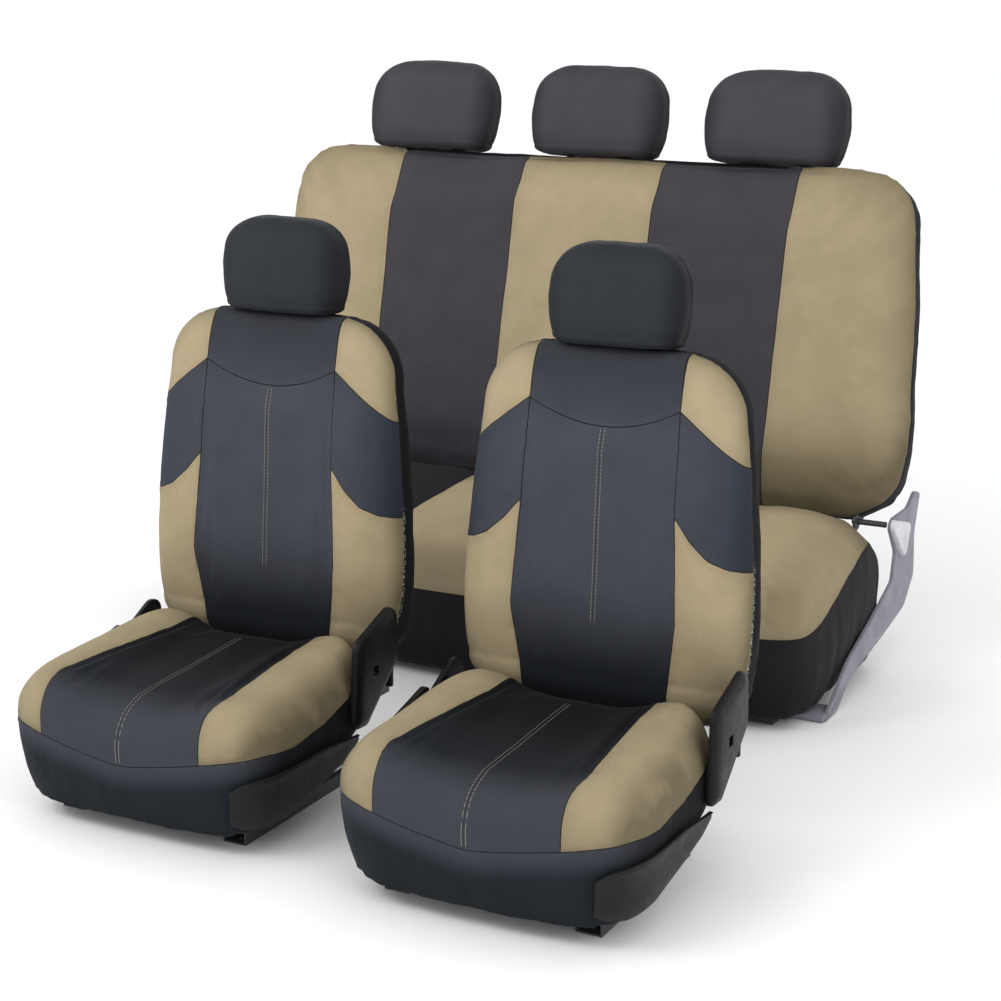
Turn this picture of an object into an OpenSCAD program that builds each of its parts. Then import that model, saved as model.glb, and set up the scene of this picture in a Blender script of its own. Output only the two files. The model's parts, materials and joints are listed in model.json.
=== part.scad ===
// Fabric seat cover set, shown on the seats it fits: two front bucket seats that slide, recline
// and carry sliding headrests, and a three-place rear bench whose back tilts forward.
// The seats face -Y. Every cover is a shell of its own over its foam.

/* [Placement] */
// distance between the centres of the two front seats
front_spacing = 662; // [620:1:700]
// how far the left front seat stands behind the right one
left_setback = 36; // [0:1:60]
// distance from the front seats' bight line back to the bench's
bench_setback = 983; // [950:1:1100]
// sideways step from the right front seat's centre to the bench's centre
bench_offset = 576; // [500:1:620]

/* [Front seat] */
// greatest half width of the cushion
cushion_half = 262; // [250:1:262]
// length of the cushion, front to rear
cushion_length = 430; // [410:1:460]
// height of the middle of the cushion's top
cushion_top = 236; // [225:1:240]
// greatest half width of the back
back_half = 262; // [250:1:262]
// length of the back above its pivot
back_length = 582; // [560:1:620]
// how far the back leans from upright
back_lean = 4.5; // [0:0.5:8]
// half width of the headrest
rest_half = 125; // [118:1:140]
// height of the headrest
rest_height = 164; // [155:1:190]

/* [Bench] */
// half width of the back and cushion
bench_half = 726; // [700:1:760]
// length of the bench back above its pivot
bench_back_length = 712; // [680:1:740]
// how far the bench back leans from upright
bench_lean = 12.8; // [8:0.2:16]
// height of the middle of the bench cushion's top
bench_top = 318; // [300:1:325]
// half width of a bench headrest
bench_rest_half = 160; // [140:1:165]
// height of a bench headrest
bench_rest_height = 196; // [180:1:205]

/* [Fabric] */
// thickness of a cover's laminated fabric
cover_thickness = 3; // [2:0.5:4]

/* [Hidden] */
// whole set moved so that the middle of its base is the origin
set_shift = [535, -434, 0];

right_seat = set_shift;
left_seat = set_shift + [-front_spacing, left_setback, 0];
bench = set_shift + [-bench_offset, bench_setback, 0];

// foam stands this far inside the outer surface of its cover
foam_inset = cover_thickness + 1.5;

// front cushion
hem_height = 24;
rear_hem_height = 130;
hem_turn_y = -430;
hem_rise = 0.32;
foam_low = 84;
straight_side = 150;
side_top = 160;
cushion_rear = -10;
cushion_edge = 48;
cushion_bolster = 30;
cushion_slope = 0.05;
pan_top = 74;
pan_thick = 4;

// recliner pivot, and the back around it (the back's own frame has its origin on the pivot)
pivot_y = 35;
pivot_z = 228;
pivot_pin_r = 6;
running_gap = 0.05;
back_front = -35;
back_rear = 85;
back_bottom = 22;
foam_bottom = 66;
foam_rear = 30;
frame_front = 32;
frame_depth = 20;
shoulder_radius = 110;
back_bolster = 22;

// headrests
post_r = 6;
post_half_spacing = 65;
post_y = 22;
guide_r = 9;
guide_length = 150;
guide_head_r = 13;
guide_head = 2.5;
rest_gap = 4;
post_depth = 140;
post_rise = 95;

// rails and runners
rail_x = 166;
rail_width = 44;
rail_height = 24;
rail_wall = 2.5;
rail_slot = 16;
rail_length = 340;
rail_front = -352;
runner_length = 250;
runner_front = -257;
runner_top = 36;
rail_hole_r = 4.5;
rail_hole_inset = 20;

// plastic trim and controls
trim_thick = 5;
shield_gap = 2;
recliner_face = 264;
recliner_thick = 12;
housing_inner = 229;
lever_y = -60;
lever_z = 220;
lever_pin_r = 6;
bar_r = 5;
bar_pivot_y = -240;
bar_pivot_z = 52;
bar_front = -384;
bar_half = 146;
side_member_x = 156;
side_member_thick = 6;

// bench
bench_hem = 20;
bench_cushion_length = 440;
bench_cushion_rear = 8;
bench_pivot_y = 70;
bench_pivot_z = 300;
bench_back_front = -52;
bench_back_rear = 86;
bench_back_bottom = 30;
bench_foam_bottom = 76;
bench_shoulder = 115;
bench_frame_front = 38;
bench_board_thick = 18;
bench_hole_r = 5.5;
bench_hole_x = 600;
bench_hole_y = 130;
bench_board_middle = -200;
bench_board_depth = 320;
bench_rest_spacing = 406;
bench_post_y = 26;
bracket_x = bench_half + 3;
bracket_thick = 8;
bench_board_half = bench_half - 60;
bracket_foot = [-310, -240];
bracket_foot_height = 12;
bracket_cap_thick = 10;
bench_arm_x = bench_half - 54;

// colours
beige = [0.70, 0.65, 0.50];
charcoal = [0.20, 0.21, 0.24];
black_fabric = [0.12, 0.13, 0.15];
foam_colour = [0.86, 0.82, 0.66];
steel = [0.42, 0.43, 0.45];
bright_steel = [0.74, 0.75, 0.77];
dark_plastic = [0.22, 0.22, 0.22];
grey_plastic = [0.50, 0.50, 0.54];
pale_plastic = [0.80, 0.80, 0.82];

// ---- rounded blocks built from rings ----

// a signed power, for rounded-rectangle outlines
function signed_power(v, e) = sign(v) * pow(abs(v), e);

// one level ring: half width w, from front to rear in y, at height z, with squareness n;
// bulge pushes the front out beside the middle, as a bolster does
function ring(w, front, rear, z, n, count, bulge = 0) =
  let (middle = (front + rear) / 2, depth = (rear - front) / 2)
  [for (i = [0:count - 1])
    let (
      a = 360 * (i + 0.5) / count,
      x = w * signed_power(cos(a), 2 / n),
      y = middle + depth * signed_power(sin(a), 2 / n),
      push = sin(a) < 0 ? bulge * bolster(abs(x) / w) : 0
    )
    [x, y - push, z]];

// height of a bolster across the half width: none in the middle, full beside it, none at the edge
function bolster(u) = u < 0.3 ? 0 : sin(180 * pow((u - 0.3) / 0.7, 1.3));

// rings joined into one closed solid
module closed_block(rings) {
  count = len(rings[0]);
  last = len(rings) - 1;
  polyhedron(
    points = [for (r = rings) each r],
    faces = concat(
      wall_faces(0, count, last, false),
      [[for (i = [0:count - 1]) i]],
      [[for (i = [count - 1:-1:0]) last * count + i]]
    )
  );
}

// rings joined into a bag: closed at the last ring, open at the first
module open_bag(outer, inner) {
  count = len(outer[0]);
  last = len(outer) - 1;
  shift = (last + 1) * count;
  polyhedron(
    points = concat([for (r = outer) each r], [for (r = inner) each r]),
    faces = concat(
      wall_faces(0, count, last, false),
      [[for (i = [count - 1:-1:0]) last * count + i]],
      wall_faces(shift, count, last, true),
      [[for (i = [0:count - 1]) shift + last * count + i]],
      [for (i = [0:count - 1]) each rim_faces(i, (i + 1) % count, shift)]
    )
  );
}

function rim_faces(a, b, shift) = [[a, b, shift + b], [a, shift + b, shift + a]];

function wall_faces(start, count, last, inward) =
  [for (k = [0:last - 1], i = [0:count - 1])
    let (
      a = start + k * count + i,
      d = start + k * count + (i + 1) % count,
      b = a + count,
      c = d + count
    )
    each inward ? [[a, c, b], [a, d, c]] : [[a, b, c], [a, c, d]]];

// ---- front cushion ----

// a pad under the foam that rests on the seat pan
foam_pad_half = 170;
foam_pad_margin = 14;
foam_pad_length = 300;
foam_pad_top = 165;

cushion_points = 28;
cushion_squareness = 5;

// half width and front edge of the cushion's side at a height
function cushion_half_at(z) =
  cushion_half - lookup(z, [[hem_height, 16], [foam_low, 6], [straight_side, 0]]);
function cushion_front_at(z) =
  cushion_rear - cushion_length + lookup(z, [[hem_height, 25], [foam_low, 8], [straight_side, 0]]);

// height of the hem, which runs up towards the rear behind the side shield
function cushion_hem(y) =
  min(rear_hem_height, max(hem_height, hem_height + hem_rise * (y - hem_turn_y)));

// a height on the side, squeezed so that the lowest one is the hem
function side_height(z, y) =
  side_top - (side_top - z) * (side_top - cushion_hem(y)) / (side_top - hem_height);

// a ring on the cushion's side, named by the height it has at the front
function cushion_side(z, inset) =
  [for (p = ring(cushion_half_at(z) - inset, cushion_front_at(z) + inset, cushion_rear - inset,
                 z, cushion_squareness, cushion_points))
    [p[0], p[1], side_height(z, p[1])]];

// a ring on the cushion's top, a share k of the way out
function cushion_top_ring(edge, k, rise, inset) =
  let (middle = cushion_rear - cushion_length / 2)
  [for (p = ring(k * (cushion_half - edge - inset), middle - k * (cushion_length / 2 - edge - inset),
                 middle + k * (cushion_length / 2 - edge * 0.35 - inset),
                 0, cushion_squareness, cushion_points))
    [p[0], p[1], rise - inset + cushion_slope * (p[1] - middle)
      + cushion_bolster * bolster(abs(p[0]) / cushion_half)]];

function cushion_rings(inset, bottom) =
  let (edge_low = cushion_top - cushion_edge)
  concat(
    [cushion_side(bottom, inset)],
    [for (z = [foam_low, 125, side_top]) if (z > bottom) cushion_side(z, inset)],
    [for (a = [20, 45, 70, 90])
      cushion_top_ring(cushion_edge * (1 - cos(a)), 1, edge_low + cushion_edge * sin(a), inset)],
    [for (k = [0.8, 0.6, 0.4, 0.2]) cushion_top_ring(cushion_edge, k, cushion_top, inset)]
  );

module cushion_cover() {
  color(charcoal)
  open_bag(cushion_rings(0, hem_height), cushion_rings(cover_thickness, hem_height));
}

module cushion_foam() {
  color(foam_colour)
  union() {
    closed_block(cushion_rings(foam_inset, foam_low));
    translate([-foam_pad_half, pan_front + foam_pad_margin, pan_top + 0.2])
    cube([2 * foam_pad_half, foam_pad_length, foam_pad_top - pan_top]);
  }
}

// ---- front back ----

back_points = 28;
back_squareness = 4;

// half width of the back at a height above its pivot
function back_half_at(s) =
  back_half - lookup(s / back_length, [[0.04, 26], [0.09, 12], [0.17, 2], [0.28, 0],
                                       [0.45, 4], [0.65, 14], [0.8, 26]]);

// the back is thinner towards its top
function back_rear_at(s) = back_rear - 20 * s / back_length;

// how far the side bolsters stand out at a height
function back_bulge_at(s) =
  back_bolster * lookup(s / back_length, [[0.08, 0], [0.25, 1], [0.6, 0.9], [0.85, 0.2], [1, 0]]);

// a ring cut off flat behind a plane
function cut_behind(points, limit) = [for (p = points) [p[0], min(p[1], limit), p[2]]];

function back_ring(s, rear_limit, inset) =
  cut_behind(ring(back_half_at(s) - inset, back_front + inset, back_rear_at(s) - inset,
                  s, back_squareness, back_points, back_bulge_at(s)), rear_limit);

// rings over the shoulders, rounding in from both sides and from front and rear
function back_shoulder(a, rear_limit, inset) =
  let (
    low = back_length - shoulder_radius,
    s = low + shoulder_radius * sin(a) - inset * sin(a),
    draw_in = shoulder_radius * (1 - cos(a)),
    depth_in = 24 * (1 - cos(a))
  )
  cut_behind(ring(back_half_at(low) - draw_in - inset, back_front + depth_in + inset,
                  back_rear_at(low) - depth_in - inset, s, back_squareness, back_points,
                  back_bulge_at(s)), rear_limit);

function back_rings(bottom, rear_limit, inset) = concat(
  [back_ring(bottom, rear_limit, inset)],
  [for (s = [foam_bottom, 105, 150, 230, 320, 400]) if (s > bottom) back_ring(s, rear_limit, inset)],
  [for (a = [0, 25, 45, 62, 77, 90]) back_shoulder(a, rear_limit, inset)]
);

// places what it is given in the back's frame
module on_back() {
  translate([0, pivot_y, pivot_z])
  rotate([-back_lean, 0, 0])
  children();
}

// two round holes for the headrest guides
module post_holes(r, low, high, half_spacing, y) {
  for (side = [-1, 1])
    translate([side * half_spacing, y, low])
    cylinder(r = r, h = high - low, $fn = 48);
}

module back_cover() {
  color(black_fabric)
  on_back()
  difference() {
    open_bag(back_rings(back_bottom, back_rear, 0),
             back_rings(back_bottom, back_rear, cover_thickness));
    post_holes(guide_r + 0.5, back_length - 20, back_length + 10, post_half_spacing, post_y);
  }
}

module back_foam() {
  color(foam_colour)
  on_back()
  difference() {
    closed_block(back_rings(foam_bottom, foam_rear, foam_inset));
    post_holes(guide_r + 0.5, back_length - guide_length - 30, back_length + 10,
               post_half_spacing, post_y);
  }
}

// the arm that joins the frame to the pivot, drawn from the side
module arm_outline(reach, low) {
  difference() {
    union() {
      circle(r = 18, $fn = 64);
      polygon([[4, -17], [reach + frame_depth, 20], [reach + frame_depth, 130], [reach, 130],
               [reach, low], [-12, 13]]);
    }
    circle(r = pivot_pin_r + running_gap, $fn = 64);
  }
}

// a plate standing in the Y-Z plane, its inner face at x
module side_plate(x, thick) {
  translate([x, 0, 0])
  rotate([90, 0, 90])
  linear_extrude(height = thick)
  children();
}

arm_x = 214;
arm_thick = 5;

module back_frame() {
  member_top = 400;
  color(steel)
  on_back() {
    for (side = [-1, 1])
      side_plate(side > 0 ? arm_x : -arm_x - arm_thick, arm_thick)
      arm_outline(frame_front, foam_bottom - 6);
    for (side = [-1, 1])
      translate([side > 0 ? arm_x - 20 : -arm_x, frame_front, 70])
      cube([20, frame_depth, member_top - 70]);
    for (low = [70, 230, member_top - 24])
      translate([20 - arm_x, frame_front, low])
      cube([2 * (arm_x - 20), frame_depth, 24]);
  }
}

// ---- headrests ----

rest_points = 24;
rest_squareness = 3.2;

// stations of a headrest: height share, width share and depth share
function rest_side(w, h, d, z, wide, deep, inset) =
  ring(w * wide - inset, -d * deep + inset, d * deep - inset, min(max(z, inset), h - inset),
       rest_squareness, rest_points);

function rest_dome(w, h, d, a, inset) =
  let (r = 0.36 * h)
  ring(w * 0.975 - r * 1.1 * (1 - cos(a)) - inset, -(d * 0.96 - 0.6 * d * (1 - cos(a)) - inset),
       d * 0.96 - 0.6 * d * (1 - cos(a)) - inset, h - r + (r - inset) * sin(a),
       rest_squareness, rest_points);

function rest_rings(w, h, d, inset) = concat(
  [ring(w * 0.74, -d * 0.62, d * 0.62, inset, rest_squareness, rest_points)],
  [rest_side(w, h, d, 0, 0.82, 0.82, inset)],
  [rest_side(w, h, d, 0.07 * h, 0.91, 0.95, inset)],
  [rest_side(w, h, d, 0.22 * h, 0.97, 1, inset)],
  [rest_side(w, h, d, 0.42 * h, 1, 1, inset)],
  [for (a = [0, 24, 45, 64, 80, 90]) rest_dome(w, h, d, a, inset)]
);

// the bent steel bar: two posts joined inside the headrest
module post_bar(r, depth, rise, grow = 0) {
  for (side = [-1, 1])
    translate([side * post_half_spacing, 0, -depth])
    cylinder(r = r + grow, h = depth + rise, $fn = 48);
  translate([-post_half_spacing, 0, rise - r])
  rotate([0, 90, 0])
  cylinder(r = r + grow, h = 2 * post_half_spacing, $fn = 48);
}

module headrest_posts() {
  color(bright_steel)
  post_bar(post_r, post_depth, post_rise);
}

module headrest_foam(w, h, d, forward) {
  color(foam_colour)
  difference() {
    translate([0, forward, 0])
    closed_block(rest_rings(w, h, d, foam_inset));
    post_bar(post_r, 10, post_rise, 0.3);
  }
}

module headrest_cover(w, h, d, forward) {
  color(black_fabric)
  translate([0, forward, 0])
  open_bag(rest_rings(w, h, d, 0), rest_rings(w, h, d, cover_thickness));
}

// a plastic sleeve that guides one headrest post, with a flat head
module post_guide(length) {
  difference() {
    union() {
      translate([0, 0, -length])
      cylinder(r = guide_r, h = length, $fn = 48);
      cylinder(r = guide_head_r, h = guide_head, $fn = 48);
    }
    translate([0, 0, -length - 1])
    cylinder(r = post_r + running_gap, h = length + guide_head + 2, $fn = 48);
  }
}

rest_depth = 52;
rest_forward = -12;

// places what it is given on top of the front seat's back, above the posts' middle
module on_back_top() {
  on_back()
  translate([0, post_y, back_length + rest_gap])
  children();
}

module front_guides() {
  color(dark_plastic)
  on_back()
  for (side = [-1, 1])
    translate([side * post_half_spacing, post_y, back_length + 0.3])
    post_guide(guide_length);
}

// ---- front seat's metalwork ----

module rail() {
  inner_slot = rail_slot / 2;
  half = rail_width / 2;
  color(steel)
  difference() {
    translate([0, rail_front + rail_length, 0])
    rotate([90, 0, 0])
    linear_extrude(height = rail_length)
    difference() {
      translate([-half, 0])
      square([rail_width, rail_height]);
      translate([rail_wall - half, rail_wall])
      square([rail_width - 2 * rail_wall, rail_height - 2 * rail_wall]);
      translate([-inner_slot, rail_wall])
      square([rail_slot, rail_height]);
    }
    for (y = [rail_front + rail_hole_inset, rail_front + rail_length - rail_hole_inset])
      translate([0, y, -1])
      cylinder(r = rail_hole_r, h = rail_wall + 2, $fn = 48);
  }
}

module runner() {
  color(bright_steel)
  translate([0, runner_front + runner_length, 0])
  rotate([90, 0, 0])
  linear_extrude(height = runner_length) {
    translate([-18, rail_wall + 1.5])
    square([36, 15]);
    translate([-5, rail_wall + 10])
    square([10, runner_top - rail_wall - 10]);
    translate([-20, runner_top - 4])
    square([40, 4]);
  }
}

pan_half = 180;
pan_front = -350;
bracket_inner = 222;
bracket_shelf = 150;
bracket_depth = 50;
upright_x = 150;

// the bracket that carries the back's pivot, drawn from the side
module bracket_outline() {
  difference() {
    union() {
      translate([pivot_y, pivot_z])
      circle(r = 19, $fn = 64);
      polygon([[0, bracket_shelf], [bracket_depth, bracket_shelf], [pivot_y + 18, pivot_z],
               [pivot_y - 18, pivot_z]]);
    }
    translate([pivot_y, pivot_z])
    circle(r = pivot_pin_r + 0.02, $fn = 64);
  }
}

module seat_pan() {
  plate_low = pan_top - pan_thick;
  color(steel) {
    translate([-pan_half, pan_front, plate_low])
    cube([2 * pan_half, -pan_front - 4, pan_thick]);
    translate([-upright_x, -4, plate_low])
    cube([2 * upright_x, bracket_depth + 4, pan_thick]);
    for (side = [-1, 1]) {
      side_plate(side > 0 ? upright_x : -upright_x - arm_thick, arm_thick)
      translate([-4, plate_low])
      square([bracket_depth + 4, bracket_shelf + pan_thick - plate_low]);
      translate([side > 0 ? upright_x : -bracket_inner - arm_thick, 0, bracket_shelf])
      cube([bracket_inner + arm_thick - upright_x, bracket_depth, pan_thick]);
    }
    for (side = [-1, 1])
      difference() {
        translate([side > 0 ? side_member_x : -side_member_x - side_member_thick,
                   runner_front, runner_top])
        cube([side_member_thick, runner_length, plate_low - runner_top]);
        translate([side > 0 ? side_member_x - 1 : -side_member_x - side_member_thick - 1,
                   bar_pivot_y, bar_pivot_z])
        rotate([0, 90, 0])
        cylinder(r = bar_r + running_gap, h = side_member_thick + 2, $fn = 48);
      }
    for (side = [-1, 1])
      side_plate(side > 0 ? bracket_inner : -bracket_inner - arm_thick, arm_thick)
      bracket_outline();
  }
}

module pivot_pins(inner, outer, y, z) {
  for (side = [-1, 1])
    translate([side > 0 ? inner : -outer, y, z])
    rotate([0, 90, 0])
    cylinder(r = pivot_pin_r, h = outer - inner, $fn = 64);
}

module front_pivot_pins() {
  color(bright_steel)
  pivot_pins(arm_x - 6, bracket_inner + arm_thick + 1.5, pivot_y, pivot_z);
}

// ---- front seat's trim and controls ----

// one cross-section of the side shield, following the cushion's side at angle a
function shield_section(a, low, high) =
  let (middle = max(foam_low, (low + high) / 2))
  concat(
    [for (z = [low, middle, high]) shield_point(a, z, shield_gap)],
    [for (z = [high, middle, low]) shield_point(a, z, shield_gap + trim_thick)]
  );

function shield_point(a, z, grow) =
  let (
    w = cushion_half_at(z) + grow,
    front = cushion_front_at(z) - grow,
    middle = (front + cushion_rear) / 2,
    depth = (cushion_rear - front) / 2,
    n = cushion_squareness,
    reach = pow(pow(abs(cos(a)), n) + pow(abs(sin(a)), n), -1 / n)
  )
  [w * reach * cos(a), middle + depth * reach * sin(a), z];

module side_shield() {
  rear_angle = 27;
  front_angle = -49.5;
  steps = 22;
  color(dark_plastic)
  closed_block([for (i = [0:steps])
    let (
      share = i / steps,
      a = rear_angle + (front_angle - rear_angle) * share,
      low = lookup(share, [[0, 116], [0.1, 99], [0.29, 83], [0.49, 70], [0.66, 56], [0.86, 50], [1, 52]]),
      high = lookup(share, [[0, 130], [0.2, 138], [0.35, 142], [0.86, 142], [0.95, 138], [1, 126]])
    )
    shield_section(a, low, high)]);
}

// the recliner cover's outline from the side: broad above, drawn in towards its foot
module recliner_outline() {
  hull() {
    translate([-24, 305])
    circle(r = 26, $fn = 48);
    translate([-33, 252])
    circle(r = 38, $fn = 48);
    translate([-118, 279])
    circle(r = 28, $fn = 48);
    translate([-136, 160])
    circle(r = 17, $fn = 48);
    translate([-110, 160])
    circle(r = 17, $fn = 48);
  }
}

// the far cover is low: it backs the lever and ends below the cushion's bolster
module far_recliner_outline() {
  hull() {
    translate([22, 250])
    circle(r = 30, $fn = 48);
    translate([lever_y, lever_z - 12])
    circle(r = 26, $fn = 48);
    translate([-92, 166])
    circle(r = 16, $fn = 48);
    translate([-10, 186])
    circle(r = 18, $fn = 48);
  }
}

// the housing behind a recliner cover, beside the pivot bracket
module recliner_housing() {
  translate([-6, 170])
  square([34, 58]);
}

module recliner_cover() {
  color(dark_plastic)
  side_plate(housing_inner, recliner_face - housing_inner)
  recliner_housing();
  color(dark_plastic)
  difference() {
    side_plate(recliner_face, recliner_thick)
    difference() {
      recliner_outline();
      translate([-82, 237])
      square([17, 17], center = true);
    }
  }
}

module far_recliner_cover() {
  color(dark_plastic)
  side_plate(-recliner_face, recliner_face - housing_inner)
  recliner_housing();
  color(dark_plastic)
  side_plate(-recliner_face - recliner_thick, recliner_thick)
  difference() {
    far_recliner_outline();
    translate([lever_y, lever_z])
    circle(r = lever_pin_r + running_gap, $fn = 64);
  }
}

module recliner_lever() {
  outer = recliner_face + recliner_thick + 1;
  handle_thick = 14;
  color(dark_plastic) {
    side_plate(-outer - handle_thick, handle_thick)
    union() {
      translate([lever_y, lever_z])
      circle(r = 20, $fn = 64);
      polygon([[lever_y - 4, lever_z + 19], [lever_y - 4, lever_z - 19],
               [lever_y - 130, lever_z - 26], [lever_y - 130, lever_z - 4]]);
      translate([lever_y - 130, lever_z - 15])
      circle(r = 11, $fn = 48);
    }
    translate([-outer - 1, lever_y, lever_z])
    rotate([0, 90, 0])
    cylinder(r = lever_pin_r, h = recliner_thick + 1, $fn = 64);
  }
}

module slide_bar() {
  color(steel) {
    for (side = [-1, 1]) {
      translate([side * bar_half, bar_pivot_y, bar_pivot_z])
      rotate([90, 0, 0])
      cylinder(r = bar_r, h = bar_pivot_y - bar_front, $fn = 48);
      translate([side * bar_half, bar_pivot_y, bar_pivot_z])
      sphere(r = bar_r, $fn = 48);
      translate([side * bar_half, bar_front, bar_pivot_z])
      sphere(r = bar_r, $fn = 48);
      translate([side > 0 ? bar_half : -side_member_x - side_member_thick - 2,
                 bar_pivot_y, bar_pivot_z])
      rotate([0, 90, 0])
      cylinder(r = bar_r, h = side_member_x + side_member_thick + 2 - bar_half, $fn = 48);
    }
    translate([-bar_half, bar_front, bar_pivot_z])
    rotate([0, 90, 0])
    cylinder(r = bar_r, h = 2 * bar_half, $fn = 48);
  }
}

// ---- bench ----

bench_points = 32;
bench_squareness = 7;
bench_edge = 46;

function bench_cushion_half_at(z) = bench_half - lookup(z, [[bench_hem, 14], [100, 4], [180, 0]]);
function bench_cushion_front_at(z) =
  bench_cushion_rear - bench_cushion_length + lookup(z, [[bench_hem, 12], [100, 3], [180, 0]]);

function bench_cushion_side(z, inset) =
  ring(bench_cushion_half_at(z) - inset, bench_cushion_front_at(z) + inset,
       bench_cushion_rear - inset, z, bench_squareness, bench_points);

function bench_cushion_top(edge, k, rise, inset) =
  let (middle = bench_cushion_rear - bench_cushion_length / 2)
  [for (p = ring(k * (bench_half - edge - inset),
                 middle - k * (bench_cushion_length / 2 - edge * 1.6 - inset),
                 middle + k * (bench_cushion_length / 2 - edge * 0.4 - inset),
                 0, bench_squareness, bench_points))
    [p[0], p[1], rise - inset + 0.07 * (p[1] - middle)]];

function bench_cushion_rings(inset, bottom) =
  let (side_top = bench_top - bench_edge)
  concat(
    [for (z = [bottom, 100, 180, 220]) bench_cushion_side(z, inset)],
    [for (a = [20, 45, 70, 90])
      bench_cushion_top(bench_edge * (1 - cos(a)), 1, side_top + bench_edge * sin(a), inset)],
    [for (k = [0.6, 0.2]) bench_cushion_top(bench_edge, k, bench_top, inset)]
  );

module bench_cushion_cover() {
  color(charcoal)
  open_bag(bench_cushion_rings(0, bench_hem), bench_cushion_rings(cover_thickness, bench_hem));
}

module bench_cushion_foam() {
  color(foam_colour)
  closed_block(bench_cushion_rings(foam_inset, bench_board_thick + 0.2));
}

module bench_base_board() {
  color(steel)
  difference() {
    translate([-bench_board_half, bench_board_middle - bench_board_depth / 2, 0])
    cube([2 * bench_board_half, bench_board_depth, bench_board_thick]);
    for (x = [-1, 1], y = [-1, 1])
      translate([x * bench_hole_x, bench_board_middle + y * bench_hole_y, -1])
      cylinder(r = bench_hole_r, h = bench_board_thick + 2, $fn = 48);
  }
}

module on_bench_back() {
  translate([0, bench_pivot_y, bench_pivot_z])
  rotate([-bench_lean, 0, 0])
  children();
}

function bench_back_half_at(s) =
  bench_half + lookup(s / bench_back_length, [[0.04, 2], [0.085, 24], [0.17, 40], [0.28, 42],
                                              [0.64, 26], [0.85, 8]]);

function bench_back_ring(s, limit, inset) =
  cut_behind(ring(bench_back_half_at(s) - inset, bench_back_front + inset,
                  bench_back_rear - inset, s, bench_squareness, bench_points), limit);

function bench_back_shoulder(a, limit, inset) =
  let (
    low = bench_back_length - bench_shoulder,
    draw_in = bench_shoulder * (1 - cos(a)),
    depth_in = 30 * (1 - cos(a))
  )
  cut_behind(ring(bench_back_half_at(low) - draw_in - inset, bench_back_front + depth_in + inset,
                  bench_back_rear - depth_in - inset, low + (bench_shoulder - inset) * sin(a),
                  bench_squareness, bench_points), limit);

function bench_back_rings(bottom, limit, inset) = concat(
  [bench_back_ring(bottom, limit, inset)],
  [for (s = [bench_foam_bottom, 120, 200, 400]) if (s > bottom) bench_back_ring(s, limit, inset)],
  [for (a = [0, 25, 45, 64, 80, 90]) bench_back_shoulder(a, limit, inset)]
);

module bench_post_holes(low) {
  for (place = [-1, 0, 1])
    translate([place * bench_rest_spacing, 0, 0])
    post_holes(guide_r + 0.5, low, bench_back_length + 10, post_half_spacing, bench_post_y);
}

module bench_back_cover() {
  color(beige)
  on_bench_back()
  difference() {
    open_bag(bench_back_rings(bench_back_bottom, bench_back_rear, 0),
             bench_back_rings(bench_back_bottom, bench_back_rear, cover_thickness));
    bench_post_holes(bench_back_length - 20);
  }
}

module bench_back_foam() {
  color(foam_colour)
  on_bench_back()
  difference() {
    closed_block(bench_back_rings(bench_foam_bottom, bench_frame_front - 2, foam_inset));
    bench_post_holes(bench_back_length - guide_length - 30);
  }
}

module bench_back_frame() {
  member_top = 520;
  color(steel)
  on_bench_back() {
    for (side = [-1, 1])
      side_plate(side > 0 ? bench_arm_x : -bench_arm_x - arm_thick, arm_thick)
      arm_outline(bench_frame_front, bench_foam_bottom - 8);
    for (side = [-1, 1])
      translate([side > 0 ? bench_arm_x - 20 : -bench_arm_x, bench_frame_front, 80])
      cube([20, frame_depth, member_top - 80]);
    for (x = [-200, 200])
      translate([x - 12, bench_frame_front, 104])
      cube([24, frame_depth, member_top - 128]);
    for (low = [80, member_top - 24])
      translate([20 - bench_arm_x, bench_frame_front, low])
      cube([2 * (bench_arm_x - 20), frame_depth, 24]);
  }
}

module bench_guides() {
  color(dark_plastic)
  on_bench_back()
  for (place = [-1, 0, 1], side = [-1, 1])
    translate([place * bench_rest_spacing + side * post_half_spacing, bench_post_y,
               bench_back_length + 0.3])
    post_guide(guide_length);
}

// the slanted end bracket: its foot in front, its head at the pivot
module bracket_side() {
  difference() {
    union() {
      polygon([[bracket_foot[0], 2], [bracket_foot[1], 2], [-161, 50], [9, 73], [169, 103],
               [229, 159], [221, 252], [250, 330], [215, 340], [170, 314], [bench_pivot_y, 314],
               [bench_pivot_y - 18, bench_pivot_z], [100, 238], [85, 179], [-37, 132], [-177, 85]]);
      translate([bench_pivot_y, bench_pivot_z])
      circle(r = 20, $fn = 64);
    }
    translate([bench_pivot_y, bench_pivot_z])
    circle(r = pivot_pin_r + 0.02, $fn = 64);
  }
}

module bench_bracket(side) {
  foot_length = bracket_x + 1 - bench_board_half;
  color(grey_plastic) {
    side_plate(side > 0 ? bracket_x : -bracket_x - bracket_thick, bracket_thick)
    bracket_side();
    // the foot reaches in under the hem to the end of the base board
    translate([side > 0 ? bench_board_half : -bench_board_half - foot_length, bracket_foot[0], 2])
    cube([foot_length, bracket_foot[1] - bracket_foot[0], bracket_foot_height]);
  }
}

module bench_bracket_caps() {
  color(pale_plastic)
  for (side = [-1, 1])
    side_plate(side > 0 ? bracket_x + bracket_thick : -bracket_x - bracket_thick - bracket_cap_thick,
               bracket_cap_thick)
    hull() {
      translate([62, 302])
      circle(r = 12, $fn = 48);
      translate([148, 276])
      circle(r = 14, $fn = 48);
      translate([130, 238])
      circle(r = 14, $fn = 48);
    }
}

module bench_pins() {
  color(bright_steel)
  pivot_pins(bench_arm_x - 6, bracket_x + bracket_thick, bench_pivot_y, bench_pivot_z);
}

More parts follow.
